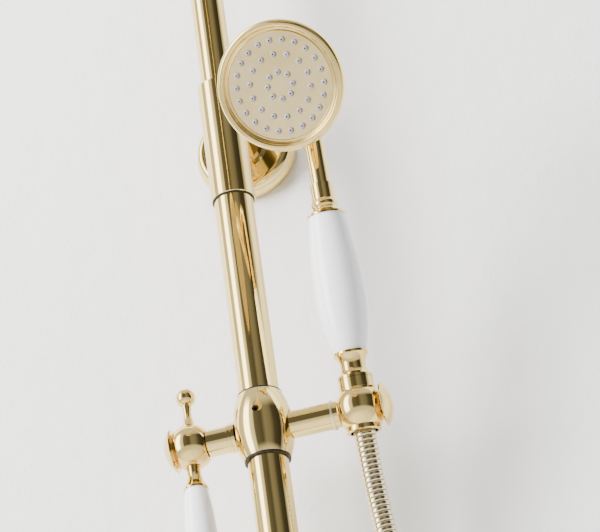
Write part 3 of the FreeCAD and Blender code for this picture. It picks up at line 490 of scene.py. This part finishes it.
@dataclass(frozen=True)
class TurnedMetal:
    """Bare machined metal that keeps the tool's fine rings."""

    name: str
    colour: Colour = (0.62, 0.47, 0.22)
    shade: Colour = (0.40, 0.28, 0.12)
    rings_along: str = "Z"
    rings_per_metre: float = 900.0
    ring_wobble: float = 0.6
    ring_m: float = 0.00003
    roughness: float = 0.2
    ring_dulling: float = 0.1
    haze_dulling: float = 0.14
    stains: Mottle = Mottle(48.0, 5.0, band=(0.4, 0.75))
    haze: Mottle = Mottle(120.0, 4.0)

    def material(self) -> bpy.types.Material:
        """Makes the finish."""
        sheet = NodeSheet.for_material(self.name)
        colour = sheet.blend(sheet.cloud(self.stains), self.colour, self.shade)
        rings = sheet.lathe_rings(self.rings_per_metre, self.rings_along, self.ring_wobble)
        roughness = rings * self.ring_dulling + sheet.cloud(self.haze) * self.haze_dulling + self.roughness
        return sheet.surface(colour, roughness, rings, self.ring_m, METAL)


@dataclass(frozen=True)
class SpiralMetal:
    """The hose's plated strip: bright on its crowns; down in the seam it is duller, and its colour is darkened there
    as painted shade of the groove.
    """

    name: str
    crown: Colour = (0.80, 0.69, 0.45)
    worn: Colour = (0.66, 0.53, 0.3)
    # Near-black colour painted into the seam's groove: painted shade, not the strip's own colour.
    seam: Colour = (0.16, 0.11, 0.05)
    seam_layer: str = "seam"
    seam_shade_band: Band = (0.3, 0.95)
    worn_share: float = 0.4
    roughness: float = 0.13
    seam_dulling: float = 0.35
    wear_dulling: float = 0.06
    grain_m: float = 0.00001
    wear: Mottle = Mottle(60.0, 4.0, band=(0.4, 0.8))
    grain: Mottle = Mottle(900.0, 2.0)

    def material(self) -> bpy.types.Material:
        """Makes the finish."""
        sheet = NodeSheet.for_material(self.name)
        depth = sheet.read(sheet.add("ShaderNodeAttribute", {"attribute_name": self.seam_layer}), "Fac")
        wear = sheet.cloud(self.wear)
        strip = sheet.blend(wear * self.worn_share, self.crown, self.worn)
        # Painted shade: the colour is darkened towards the bottom of the seam's groove.
        colour = sheet.blend(depth.over(*self.seam_shade_band), strip, self.seam)
        roughness = depth * self.seam_dulling + wear * self.wear_dulling + self.roughness
        return sheet.surface(colour, roughness, sheet.cloud(self.grain), self.grain_m, METAL)


@dataclass(frozen=True)
class Porcelain:
    """Glazed white porcelain with faint pooling of the glaze and a clear gloss."""

    name: str
    colour: Colour = (0.86, 0.87, 0.89)
    pooled: Colour = (0.80, 0.815, 0.835)
    speck: Colour = (0.62, 0.6, 0.57)
    pool_share: float = 0.7
    speck_share: float = 0.25
    roughness: float = 0.05
    haze_dulling: float = 0.05
    wave_m: float = 0.00005
    refraction: float = 1.55
    glaze: float = 0.6
    glaze_roughness: float = 0.03
    pools: Mottle = Mottle(40.0, 3.0, (1.0, 1.0, 0.5), (0.35, 0.75))
    specks: Mottle = Mottle(1500.0, 1.0, band=(0.76, 0.8))
    haze: Mottle = Mottle(55.0, 3.0)
    skin: Mottle = Mottle(95.0, 2.0)

    def material(self) -> bpy.types.Material:
        """Makes the finish."""
        sheet = NodeSheet.for_material(self.name)
        glazed = sheet.blend(sheet.cloud(self.pools) * self.pool_share, self.colour, self.pooled)
        colour = sheet.blend(sheet.cloud(self.specks) * self.speck_share, glazed, self.speck)
        roughness = sheet.cloud(self.haze) * self.haze_dulling + self.roughness
        gloss = {"IOR": self.refraction, "Coat Weight": self.glaze, "Coat Roughness": self.glaze_roughness}
        return sheet.surface(colour, roughness, sheet.cloud(self.skin), self.wave_m, gloss)


@dataclass(frozen=True)
class MouldedPolymer:
    """Moulded nylon or rubber with a fine tooled grain."""

    name: str
    colour: Colour
    bloom: Colour
    roughness: float = 0.42
    grain_m: float = 0.00002
    gloss: float = 0.25
    dust_dulling: float = 0.18
    dust: Mottle = Mottle(180.0, 4.0, band=(0.4, 0.8))
    grain: Mottle = Mottle(3200.0, 2.0)

    def material(self) -> bpy.types.Material:
        """Makes the finish."""
        sheet = NodeSheet.for_material(self.name)
        dusty = sheet.cloud(self.dust)
        colour = sheet.blend(dusty, self.colour, self.bloom)
        return sheet.surface(colour, dusty * self.dust_dulling + self.roughness, sheet.cloud(self.grain),
                             self.grain_m, {"Specular IOR Level": self.gloss})


@dataclass(frozen=True)
class PaintedPlaster:
    """The wall's matt paint over trowelled plaster; clear when it is looked at from behind."""

    name: str
    colour: Colour = (0.83, 0.825, 0.815)
    shade: float = 0.965
    shade_share: float = 0.5
    sand_share: float = 0.25
    roughness: float = 0.62
    relief_m: float = 0.0012
    broad: Mottle = Mottle(7.0, 3.0, band=(0.3, 0.7))
    trowel: Mottle = Mottle(55.0, 6.0)
    sand: Mottle = Mottle(420.0, 3.0)

    def material(self) -> bpy.types.Material:
        """Makes the finish and hides its back."""
        sheet = NodeSheet.for_material(self.name)
        shaded = tuple(self.shade * part for part in self.colour)
        colour = sheet.blend(sheet.cloud(self.broad) * self.shade_share, self.colour, shaded)
        relief = sheet.cloud(self.trowel) * (1.0 - self.sand_share) + sheet.cloud(self.sand) * self.sand_share
        sheet.surface(colour, self.roughness, relief, self.relief_m)
        shader = sheet.output.inputs["Surface"].links[0].from_socket
        behind = sheet.add("ShaderNodeNewGeometry").outputs["Backfacing"]
        clear = sheet.add("ShaderNodeBsdfTransparent")
        mixed = sheet.add("ShaderNodeMixShader", None, {"Fac": behind})
        sheet.tree.links.new(shader, mixed.inputs[1])
        sheet.tree.links.new(clear.outputs["BSDF"], mixed.inputs[2])
        sheet.tree.links.new(mixed.outputs["Shader"], sheet.output.inputs["Surface"])
        return sheet.owner


@dataclass(frozen=True)
class PaleFloor:
    """A plain pale studio floor."""

    name: str
    colour: Colour = (0.72, 0.71, 0.69)
    shade: Colour = (0.69, 0.68, 0.66)
    roughness: float = 0.6
    patches: Mottle = Mottle(3.0)

    def material(self) -> bpy.types.Material:
        """Makes the finish."""
        sheet = NodeSheet.for_material(self.name)
        return sheet.surface(sheet.blend(sheet.cloud(self.patches), self.colour, self.shade), self.roughness)


class Finish(Enum):
    """Every finish of the column, by what a maker would call it."""

    MIRROR_BRASS = PolishedMetal("mirror_brass")
    DRAWN_TUBE = PolishedMetal("drawn_brass_tube", wave_m=0.000008, smear=0.05)
    SPRAY_FACE = SatinMetal("satin_spray_face")
    CLUTCH_WASHER = SatinMetal("satin_clutch_washer", (0.88, 0.8, 0.6), (0.8, 0.7, 0.5), 0.3)
    TURNED_BRASS = TurnedMetal("turned_brass")
    UNION_BRASS = TurnedMetal("turned_union_brass", rings_along="Y")
    SCREW_STEEL = TurnedMetal("screw_steel", (0.55, 0.55, 0.54), (0.38, 0.38, 0.37), "Y")
    BLACKED_STEEL = TurnedMetal("blacked_screw_steel", (0.09, 0.075, 0.05), (0.045, 0.04, 0.03), "Y")
    SPIRAL = SpiralMetal("spiral_hose_strip")
    PORCELAIN = Porcelain("glazed_porcelain")
    BLACK_NYLON = MouldedPolymer("black_nylon", (0.012, 0.012, 0.012), (0.03, 0.029, 0.028))
    SEAL_RUBBER = MouldedPolymer("seal_rubber", (0.015, 0.014, 0.014), (0.04, 0.038, 0.036), 0.5)
    JET_RUBBER = MouldedPolymer("grey_jet_rubber", (0.30, 0.27, 0.29), (0.38, 0.35, 0.37), 0.38)
    PLASTER = PaintedPlaster("painted_plaster")
    FLOOR = PaleFloor("pale_floor")


MADE: dict[Finish, bpy.types.Material] = {}


def finish_of(finish: Finish) -> bpy.types.Material:
    """The finish's material, made on first use.

    Args:
        finish: the finish that is wanted.

    Returns:
        Its material.
    """
    if finish not in MADE:
        MADE[finish] = finish.value.material()
    return MADE[finish]


# ---- mesh helpers ---------------------------------------------------------------------------
def dress_nodes(finish: Finish, *nodes: str, crease: float = PART_CREASE) -> None:
    """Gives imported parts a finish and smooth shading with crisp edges.

    Args:
        finish: the finish they all take.
        nodes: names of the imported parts.
        crease: degrees between two faces from which their shared edge stays crisp.
    """
    for name in nodes:
        part = frame["nodes"][name]
        part.data.materials.clear()
        part.data.materials.append(finish_of(finish))
        if part.data.has_custom_normals:
            LOG.info("%s keeps its own normals", name)
        else:
            part.data.shade_smooth()
            part.data.set_sharp_from_angle(angle=math.radians(crease))
        LOG.info("dressed %s as %s", name, finish.value.name)


def new_piece(name: str, corners: Sequence[Vector], faces: Sequence[Sequence[int]], finish: Finish,
              crease: float = PIECE_CREASE) -> bpy.types.Object:
    """A mesh piece with smooth shading and crisp edges.

    Args:
        name: the piece's name.
        corners: its points, in metres.
        faces: its faces, as point numbers.
        finish: the finish it takes.
        crease: degrees from which an edge stays crisp.

    Returns:
        The new piece, linked to the scene.
    """
    mesh = bpy.data.meshes.new(name)
    mesh.from_pydata([tuple(corner) for corner in corners], [], [tuple(face) for face in faces])
    mesh.validate()
    mesh.materials.append(finish_of(finish))
    mesh.shade_smooth()
    mesh.set_sharp_from_angle(angle=math.radians(crease))
    piece = bpy.data.objects.new(name, mesh)
    bpy.context.scene.collection.objects.link(piece)
    LOG.info("made %s with %d faces", name, len(faces))
    return piece


def stood_on(base: Vector, axis: Vector) -> Matrix:
    """The placement whose Z axis runs along axis from base."""
    return Matrix.Translation(base) @ UP.rotation_difference(axis).to_matrix().to_4x4()


def turned_piece(name: str, outline: Outline, base: Vector, axis: Vector, finish: Finish,
                 around: int = TURN_STEPS) -> bpy.types.Object:
    """A piece turned about an axis.

    Args:
        name: the piece's name.
        outline: closed ring of (radius, height) corners, in metres, all off the axis.
        base: where height 0 lies.
        axis: direction of the axis.
        finish: the finish it takes.
        around: number of steps round the axis.

    Returns:
        The new piece.
    """
    there = stood_on(base, axis)
    count = len(outline)
    corners = [there @ Vector((r * math.cos(math.tau * j / around), r * math.sin(math.tau * j / around), h))
               for j in range(around) for r, h in outline]
    faces = [(j * count + i, (j + 1) % around * count + i, (j + 1) % around * count + (i + 1) % count,
              j * count + (i + 1) % count) for j in range(around) for i in range(count)]
    return new_piece(name, corners, faces, finish)


@dataclass(frozen=True)
class Thread:
    """A screw thread: one V-shaped ridge wound on a shaft, running out to nothing at both ends.

    The ridge's height is a share of the pitch, and its foot is sunk by a share of that height. The foot's and
    the crest's half widths are shares of the pitch.
    """

    radius: float
    pitch: float
    start: float
    end: float
    steps: int = 40
    height_share: float = 0.32
    sunk_share: float = 0.3
    foot_share: float = 0.42
    crest_share: float = 0.08

    def ridge(self, name: str, base: Vector, axis: Vector, finish: Finish) -> bpy.types.Object:
        """Winds the thread.

        Args:
            name: the piece's name.
            base: where height 0 lies on the axis.
            axis: direction of the axis.
            finish: the finish it takes.

        Returns:
            The new piece.
        """
        there = stood_on(base, axis)
        depth = self.pitch * self.height_share
        count = int((self.end - self.start) / self.pitch * self.steps)
        corners = []
        for i in range(count + 1):
            angle = math.tau * i / self.steps
            height = self.start + self.pitch * i / self.steps
            fade = min(1.0, i / self.steps, (count - i) / self.steps)
            foot = self.radius - depth * self.sunk_share
            crest = self.radius + depth * fade
            for r, share in ((foot, -self.foot_share), (crest, -self.crest_share),
                             (crest, self.crest_share), (foot, self.foot_share)):
                corners.append(there @ Vector((r * math.cos(angle), r * math.sin(angle),
                                               height + share * self.pitch)))
        faces = [(4 * i + k, 4 * i + 4 + k, 4 * i + 4 + (k + 1) % 4, 4 * i + (k + 1) % 4)
                 for i in range(count) for k in range(4)]
        faces += [(0, 1, 2, 3), (4 * count + 3, 4 * count + 2, 4 * count + 1, 4 * count)]
        return new_piece(name, corners, faces, finish)


def socket_screw(name: str, node: str, axis: Vector, key_share: float, finish: Finish) -> bpy.types.Object:
    """A headless screw with a hexagonal key pit, in place of a plain packed one.

    Args:
        name: the piece's name.
        node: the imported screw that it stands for.
        axis: direction from the screw's inner end to its face.
        key_share: the pit's corner radius as a share of the screw's.
        finish: the finish it takes.

    Returns:
        The new piece.
    """
    low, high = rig.box(node)
    span = high - low
    length = abs(span.dot(axis))
    radius = (span - Vector(abs(part) for part in axis) * length).length / math.sqrt(2) / 2
    there = stood_on((low + high) / 2, axis)
    chamfer = radius * SCREW_CHAMFER
    angles = [math.tau * j / SCREW_STEPS for j in range(SCREW_STEPS)]

    def loop(reach: Sequence[float], h: float) -> list[Vector]:
        """A ring of corners at one height, each at its own distance from the axis."""
        return [Vector((r * math.cos(angle), r * math.sin(angle), h)) for r, angle in zip(reach, angles)]

    half_side = math.pi / 6
    pit = [radius * key_share * math.cos(half_side) / math.cos(angle % (2 * half_side) - half_side)
           for angle in angles]
    top = length / 2
    full, narrow = [radius] * SCREW_STEPS, [radius - chamfer] * SCREW_STEPS
    loops = [loop(full, -top), loop(full, top - chamfer), loop(narrow, top), loop(pit, top),
             loop(pit, top - radius * PIT_DEPTH)]
    corners = [there @ corner for ring in loops for corner in ring]
    faces = [(k * SCREW_STEPS + j, k * SCREW_STEPS + (j + 1) % SCREW_STEPS,
              (k + 1) * SCREW_STEPS + (j + 1) % SCREW_STEPS, (k + 1) * SCREW_STEPS + j)
             for k in range(len(loops) - 1) for j in range(SCREW_STEPS)]
    faces.append(tuple(reversed(range(SCREW_STEPS))))
    faces.append(tuple(range((len(loops) - 1) * SCREW_STEPS, len(loops) * SCREW_STEPS)))
    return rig.replaces(new_piece(name, corners, faces, finish), node)


# ---- hose -----------------------------------------------------------------------------------
@dataclass
class Hose:
    """The spiral metal hose, from the valve's outlet nut up to the handset's cone."""

    diameter: float = 0.0135
    pitch: float = 0.0032
    seam_depth: float = 0.0008
    around: int = 20
    per_turn: int = 10
    dip_sharpness: int = 5
    crown_swell: float = 0.072
    inset: float = 0.07
    crease: float = 80.0
    line_order: int = 3
    line_steps: int = 64
    path_stride: int = 4
    lift_stretch: float = 0.08
    tilt_stretch: float = 0.06
    swing_stretch: float = 0.26
    fall_stretch: float = 0.21
    fall_share: float = 0.467
    run_slope: float = 75.0
    route: tuple[Point, ...] = (
        (0.059968, -0.06592, -0.252359), (0.059496, -0.058663, -0.281464), (0.0626, -0.0505, -0.330),
        (0.0655, -0.044, -0.400), (0.067, -0.0455, -0.492), (0.069, -0.055, -0.612), (0.073, -0.075, -0.745),
        (0.078, -0.098, -0.868), (0.084, -0.117, -0.970), (0.090, -0.126, -1.066), (0.095, -0.127, -1.165),
        (0.098, -0.123, -1.254), (0.0975, -0.118, -1.324), (0.053, -0.104, -1.375),
        (-0.0105, -0.084, -1.3755), (-0.0545, -0.072, -1.331), (-0.0535, -0.070, -1.252),
        (-0.052, -0.0695, -1.165), (-0.052, -0.0695, -1.097))

    def line(self) -> list[Vector]:
        """The hose's centre line as one smooth curve.

        Returns:
            Closely spaced points, from the handset down.
        """
        curve = bpy.data.curves.new("hose_line", "CURVE")
        curve.dimensions = "3D"
        spline = curve.splines.new("NURBS")
        spline.points.add(len(self.route) - 1)
        for knot, place in zip(spline.points, self.route):
            knot.co = (*place, 1.0)
        spline.order_u = self.line_order
        spline.use_endpoint_u = True
        spline.resolution_u = self.line_steps
        holder = bpy.data.objects.new("hose_line", curve)
        bpy.context.scene.collection.objects.link(holder)
        mesh = bpy.data.meshes.new_from_object(holder)
        points = [vertex.co.copy() for vertex in mesh.vertices]
        bpy.data.objects.remove(holder)
        bpy.data.meshes.remove(mesh)
        return points

    def evenly(self, points: Sequence[Vector], step: float) -> list[Vector]:
        """The same line with its points an even distance apart.

        Args:
            points: the line.
            step: distance between neighbours, in metres.

        Returns:
            The new points, from the line's first to its last.
        """
        spaced = [points[0]]
        left = step
        for here, there in zip(points, points[1:]):
            run = (there - here).length
            done = 0.0
            while run - done >= left:
                done += left
                spaced.append(here.lerp(there, done / run))
                left = step
            left -= run - done
        if (points[-1] - spaced[-1]).length > step * 0.5:
            spaced.append(points[-1])
        else:
            spaced[-1] = points[-1]
        return spaced

    def frames(self, points: Sequence[Vector]) -> list[tuple[Vector, Vector]]:
        """Two directions across the line at each point, carried along without twist.

        Args:
            points: the line.

        Returns:
            One pair of directions for each point.
        """
        tangents = [(points[min(i + 1, len(points) - 1)] - points[max(i - 1, 0)]).normalized()
                    for i in range(len(points))]
        across = tangents[0].orthogonal().normalized()
        made = []
        for before, tangent in zip([tangents[0], *tangents], tangents):
            across = before.rotation_difference(tangent) @ across
            across = (across - tangent * across.dot(tangent)).normalized()
            made.append((across, tangent.cross(across)))
        return made

    def length_of(self, name: str, points: Sequence[Vector], frames: Sequence[tuple[Vector, Vector]],
                  first: int) -> bpy.types.Object:
        """One length of the spiral tube.

        Args:
            name: the piece's name.
            points: its centre line.
            frames: the directions across it.
            first: number of its first point, counted from the handset, which sets the spiral's phase.

        Returns:
            The piece, open inside and closed by flat ends.
        """
        radius = self.diameter / 2
        corners = []
        seam = []
        for i, (point, (across, aside)) in enumerate(zip(points, frames)):
            for j in range(self.around):
                angle = math.tau * j / self.around
                swell = math.cos(math.tau * ((first + i) / self.per_turn - j / self.around))
                dip = max(0.0, swell) ** self.dip_sharpness
                r = radius - self.seam_depth * (dip + swell * self.crown_swell + self.inset)
                corners.append(point + (across * math.cos(angle) + aside * math.sin(angle)) * r)
                seam.append(dip)
        n = self.around
        faces = [(i * n + j, i * n + (j + 1) % n, (i + 1) * n + (j + 1) % n, (i + 1) * n + j)
                 for i in range(len(points) - 1) for j in range(n)]
        faces.append(tuple(reversed(range(n))))
        faces.append(tuple(range((len(points) - 1) * n, len(points) * n)))
        piece = new_piece(name, corners, faces, Finish.SPIRAL, crease=self.crease)
        # The seam layer holds each point's depth in the groove; the finish makes it duller there and darkens its
        # colour as painted shade.
        layer = piece.data.attributes.new(SpiralMetal.seam_layer, "FLOAT", "POINT")
        layer.data.foreach_set("value", seam)
        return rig.slot(piece, "spiral_hose")

    def build(self) -> None:
        """Makes the hose in five lengths, so that it bends at every joint that it passes."""
        step = self.pitch / self.per_turn
        points = self.evenly(self.line(), step)
        frames = self.frames(points)
        last = len(points) - 1
        cuts = [0]
        for stretch in (self.lift_stretch, self.tilt_stretch, self.swing_stretch):
            cuts.append(cuts[-1] + round(stretch / step))
        cuts += [last - round(self.fall_stretch / step), last]
        names = ("hose_top", "hose_neck", "hose_rise", "hose_run", "hose_fall")
        top, neck, rise, run, fall = (
            self.length_of(name, points[start:end + 1], frames[start:end + 1], start)
            for name, start, end in zip(names, cuts, cuts[1:]))
        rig.blend(top, "holder_body", "hose_end_body", points[cuts[1]], points[0])
        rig.blend(neck, "slider_body", "holder_body", points[cuts[2]], points[cuts[1]])
        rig.blend(rise, "liner_body", "slider_body", points[cuts[3]], points[cuts[2]])
        seam, outlet = points[cuts[4]], points[last]
        slope = math.radians(self.run_slope)
        aim = Vector((math.cos(slope), 0.0, math.sin(slope)))
        reach = (points[cuts[3]] - seam).dot(aim) / (1.0 - self.fall_share)
        foot = seam - aim * (reach * self.fall_share)
        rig.blend(run, "column", "liner_body", foot, foot + aim * reach)
        drop = Vector((0.0, 0.0, (seam.z - outlet.z) / self.fall_share))
        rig.blend(fall, "column", "liner_body", outlet, outlet + drop)
        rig.replaces(run, "shower_hose")
        for piece, start, end, carried in ((fall, cuts[4], last, []), (run, cuts[3], cuts[4], []),
                                           (rise, cuts[2], cuts[3], [neck, top])):
            path = points[start:end:self.path_stride] + [points[end]]
            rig.cord(piece, exit=tuple(points[end]), length=(end - start) * step, diameter=self.diameter,
                    far_end="object", stiffness="medium", lay="hanging", path=path, with_pieces=carried)
        LOG.info("hose is %.3f m long", last * step)


# ---- sub-assemblies -------------------------------------------------------------------------
@dataclass
class WallBracket:
    """Rosette, post and sleeve that hold the tubes to the wall."""

    screw_spacing: float = 0.036
    screw_radius: float = 0.0021
    screw_depth: float = 0.024
    thread_core: float = 0.93
    thread_pitch: float = 0.0018
    thread_start: float = 0.004
    thread_runout: float = 0.003
    grub_key: float = 0.55
    # Section of the thin black ring under the sleeve, which is a painted shadow.
    shadow_ring_section: float = 0.0006

    def build(self) -> None:
        """Adds the screws' threads, the grub screw's key pit, and a thin black ring under the sleeve that is a painted
        shadow standing for the shadow gap there.
        """
        thread = Thread(self.screw_radius * self.thread_core, self.thread_pitch, self.thread_start,
                        self.screw_depth - self.thread_runout)
        for side, name in ((-1, "left"), (1, "right")):
            hole = Vector((side * self.screw_spacing / 2, 0, 0))
            ridge = thread.ridge(f"wall_screw_thread_{name}", hole, INTO_WALL, Finish.SCREW_STEEL)
            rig.ride(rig.slot(ridge, "steel"), "column")
        grub = socket_screw("grub_screw_socket", "post_grub_screw", DOWN, self.grub_key, Finish.SCREW_STEEL)
        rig.ride(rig.slot(grub, "steel"), "column")
        # Painted shadow: a thin black ring at the sleeve's bottom rim stands for the dark shadow gap where the lower
        # tube enters the sleeve.
        low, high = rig.box("bracket_sleeve")
        centre = Vector(((low.x + high.x) / 2, (low.y + high.y) / 2, low.z))
        outer = (high.x - low.x) / 2 - self.shadow_ring_section
        inner = outer - 2 * self.shadow_ring_section
        shadow_ring = turned_piece("sleeve_shadow_ring", [(inner, 0.0), (inner, -self.shadow_ring_section),
                                            (outer, -self.shadow_ring_section), (outer, 0.0)],
                            centre, UP, Finish.BLACK_NYLON)
        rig.ride(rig.slot(shadow_ring, "rubber"), "column")

    def dress(self) -> None:
        """Finishes of the bracket's parts."""
        dress_nodes(Finish.MIRROR_BRASS, "wall_flange", "bracket_post", "bracket_sleeve")
        dress_nodes(Finish.TURNED_BRASS, "bracket_plate")
        dress_nodes(Finish.SCREW_STEEL, "bracket_screws")
        dress_nodes(Finish.BLACK_NYLON, "sleeve_bush")


@dataclass
class Tubes:
    """The lower riser and the swan neck that telescopes in it."""

    def dress(self) -> None:
        """Finishes of the tubes and of what seals them."""
        dress_nodes(Finish.DRAWN_TUBE, "lower_riser", "swan_neck")
        dress_nodes(Finish.TURNED_BRASS, "slip_plug")
        dress_nodes(Finish.SEAL_RUBBER, "slip_rings")
        dress_nodes(Finish.MIRROR_BRASS, "ball_nipple")


@dataclass
class RainRose:
    """The large overhead rose on its ball."""

    def dress(self) -> None:
        """Finishes of the rose."""
        dress_nodes(Finish.MIRROR_BRASS, "rose_nut", "rose_shell")
        dress_nodes(Finish.SPRAY_FACE, "rose_face")
        dress_nodes(Finish.JET_RUBBER, "rose_nozzles")
        dress_nodes(Finish.BLACK_NYLON, "rose_friction_ring")


@dataclass
class Slider:
    """Barrel on the riser with its lock on one side and the handset holder's arm on the other."""

    guide_key: float = 0.6

    def build(self) -> None:
        """Gives the guide screw its key pit."""
        screw = socket_screw("guide_screw_socket", "guide_screw", OUT_OF_WALL, self.guide_key,
                             Finish.BLACKED_STEEL)
        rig.ride(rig.slot(screw, "steel"), "slider_body")

    def dress(self) -> None:
        """Finishes of the slider, its lock and the holder."""
        dress_nodes(Finish.MIRROR_BRASS, "slider_barrel", "lock_gland", "holder_arm", "holder_ball",
                    "tension_knob", "lever_hub", "lever_cap", "lever_finial", "lever_ferrule")
        dress_nodes(Finish.BLACK_NYLON, "slider_liner")
        dress_nodes(Finish.TURNED_BRASS, "lock_pad")
        dress_nodes(Finish.CLUTCH_WASHER, "holder_washer")
        dress_nodes(Finish.SCREW_STEEL, "pivot_screw", "lock_spindle", "lever_rod")
        dress_nodes(Finish.PORCELAIN, "lever_porcelain")


@dataclass
class Handset:
    """Porcelain-gripped handset with its round spray head."""

    def dress(self) -> None:
        """Finishes of the handset."""
        dress_nodes(Finish.MIRROR_BRASS, "cone_nut", "handset_cup", "handset_collar", "handset_neck",
                    "handset_shell", "handset_rim")
        dress_nodes(Finish.SPRAY_FACE, "handset_face")
        dress_nodes(Finish.JET_RUBBER, "handset_nozzles")
        dress_nodes(Finish.PORCELAIN, "handset_porcelain")
        dress_nodes(Finish.TURNED_BRASS, "tie_tube", "hose_tail")


@dataclass
class Valve:
    """Bar valve with its two inlets, outlet and lever handles."""

    inlet_x: float = 0.075
    thread_radius: float = 0.0100
    thread_pitch: float = 0.00181
    thread_start: float = 0.002
    thread_runout: float = 0.001
    thread_steps: int = 56

    def build(self) -> None:
        """Cuts the threads of the two wall unions."""
        low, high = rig.box("inlet_unions")
        thread = Thread(self.thread_radius, self.thread_pitch, self.thread_start,
                        high.y - self.thread_runout, self.thread_steps)
        for side, name in ((-1, "left"), (1, "right")):
            base = Vector((side * self.inlet_x, 0, (low.z + high.z) / 2))
            ridge = thread.ridge(f"union_thread_{name}", base, INTO_WALL, Finish.UNION_BRASS)
            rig.ride(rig.slot(ridge, "raw_brass"), "column")

    def dress(self) -> None:
        """Finishes of the valve."""
        dress_nodes(Finish.MIRROR_BRASS, "valve_body", "inlet_flanges", "union_nuts", "riser_nut", "hose_nut",
                    "flow_cartridge", "heat_cartridge", "flow_handle", "heat_handle")
        dress_nodes(Finish.UNION_BRASS, "inlet_unions")
        dress_nodes(Finish.TURNED_BRASS, "outlet_nipple")
        dress_nodes(Finish.SEAL_RUBBER, "inlet_filters")
        dress_nodes(Finish.PORCELAIN, "flow_porcelain", "heat_porcelain")


# ---- studio ---------------------------------------------------------------------------------
@dataclass(frozen=True)
class SoftBox:
    """A rectangular studio light that faces the slider."""

    name: str
    place: Point
    width: float
    height: float
    watts: float
    colour: Colour = (1.0, 1.0, 1.0)


@dataclass
class Studio:
    """Camera, pale wall and floor, and soft light."""

    camera_place: Point = (0.32753, -1.71137, -1.10641)
    camera_target: Point = (0.036045, -0.0695, -0.13110)
    camera_roll: float = -8.18
    camera_lens: float = 187.5
    sensor_width: float = 36.0
    floor_height: float = -2.05
    wall_half_width: float = 3.0
    wall_height: float = 2.6
    floor_overlap: float = 0.001
    lights: tuple[SoftBox, ...] = (
        SoftBox("window_box", (-1.7, -1.7, 0.4), 0.9, 1.4, 150.0, (1.0, 0.99, 0.975)),
        SoftBox("top_box", (-0.3, -1.3, 1.9), 1.8, 1.2, 85.0),
    )
    window_level: float = 9.0
    pale_level: float = 1.15
    pale_above: Band = (0.62, 0.85)
    pale_below: Band = (-0.34, -0.12)
    around: tuple[Band, ...] = (
        (-180.0, 1.2), (-68.0, 1.2), (-62.0, 9.0), (-44.0, 9.0), (-40.0, 1.7), (-26.0, 1.3), (-22.0, 0.2),
        (5.0, 0.12), (18.0, 0.34), (36.0, 0.28), (52.0, 0.09), (76.0, 0.05), (86.0, 0.9), (180.0, 1.2))

    def camera(self) -> None:
        """Stands the camera below and to the right of the slider, rolled as the view needs."""
        data = bpy.data.cameras.new("camera")
        data.lens = self.camera_lens
        data.sensor_width = self.sensor_width
        camera = bpy.data.objects.new("camera", data)
        bpy.context.scene.collection.objects.link(camera)
        place = Vector(self.camera_place)
        ahead = (Vector(self.camera_target) - place).normalized()
        level_right = ahead.cross(Vector((0, 0, 1))).normalized()
        level_up = level_right.cross(ahead)
        roll = math.radians(self.camera_roll)
        right = level_right * math.cos(roll) + level_up * math.sin(roll)
        up = level_up * math.cos(roll) - level_right * math.sin(roll)
        camera.matrix_world = Matrix.Translation(place) @ Matrix((right, up, -ahead)).transposed().to_4x4()
        bpy.context.scene.camera = camera

    def surroundings(self) -> None:
        """Builds the wall and the floor."""
        half = self.wall_half_width
        low = self.floor_height
        wall = new_piece("wall", [Vector((-half, 0, low)), Vector((half, 0, low)),
                                  Vector((half, 0, self.wall_height)), Vector((-half, 0, self.wall_height))],
                         [(0, 1, 2, 3)], Finish.PLASTER)
        floor = new_piece("floor", [Vector((-half, -half, low)), Vector((half, -half, low)),
                                    Vector((half, self.floor_overlap, low)),
                                    Vector((-half, self.floor_overlap, low))],
                          [(0, 1, 2, 3)], Finish.FLOOR)
        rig.stage(wall, floor)

    def light(self) -> None:
        """Hangs the soft boxes and sets the room's even light."""
        aim = Vector(self.camera_target)
        for box in self.lights:
            data = bpy.data.lights.new(box.name, "AREA")
            data.shape = "RECTANGLE"
            data.size = box.width
            data.size_y = box.height
            data.energy = box.watts
            data.color = box.colour
            lamp = bpy.data.objects.new(box.name, data)
            lamp.visible_glossy = False
            lamp.location = box.place
            lamp.rotation_mode = "QUATERNION"
            lamp.rotation_quaternion = (aim - Vector(box.place)).to_track_quat("-Z", "Y")
            bpy.context.scene.collection.objects.link(lamp)
        self.room()

    def room(self) -> None:
        """Lights the room by direction: a tall window to the left, a dim middle, pale above and below."""
        sheet = NodeSheet.for_world("room")
        toward = sheet.add("ShaderNodeTexCoord").outputs["Generated"]
        parts = sheet.add("ShaderNodeSeparateXYZ", None, {"Vector": toward})
        bearing = sheet.sum_up("ARCTAN2", sheet.read(parts, "X"), sheet.read(parts, "Y") * -1.0)
        stops = [(0.5 + degrees / 360.0, (level / self.window_level,) * 3) for degrees, level in self.around]
        around = sheet.add("ShaderNodeValToRGB", {"stops": stops}, {"Fac": bearing * (0.5 / math.pi) + 0.5})
        rise = sheet.read(parts, "Z")
        beyond = rise.over(*self.pale_above) + (1.0 - rise.over(*self.pale_below))
        pale = (self.pale_level / self.window_level,) * 3
        shade = sheet.blend(beyond, around.outputs["Color"], pale)
        back = sheet.add("ShaderNodeBackground", None, {"Color": shade, "Strength": self.window_level})
        sheet.tree.links.new(back.outputs["Background"], sheet.output.inputs["Surface"])
        bpy.context.scene.world = sheet.owner


def main() -> None:
    """Builds the studio, the hose and every sub-assembly, and records the size before and after."""
    logging.basicConfig(level=logging.INFO, format="%(name)s: %(message)s")
    cad_low, cad_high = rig.bounds()
    studio = Studio()
    studio.camera()
    Hose().build()
    assemblies = (WallBracket(), Tubes(), RainRose(), Slider(), Handset(), Valve())
    for assembly in assemblies:
        if hasattr(assembly, "build"):
            assembly.build()
        assembly.dress()
        LOG.info("%s is done", type(assembly).__name__)
    studio.surroundings()
    studio.light()
    low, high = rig.bounds()
    with open(SIZE_FILE, "w", encoding="utf-8") as file:
        json.dump({"cad": [list(cad_low), list(cad_high)], "visual": [list(low), list(high)]}, file)


if __name__ == "__main__":
    main()
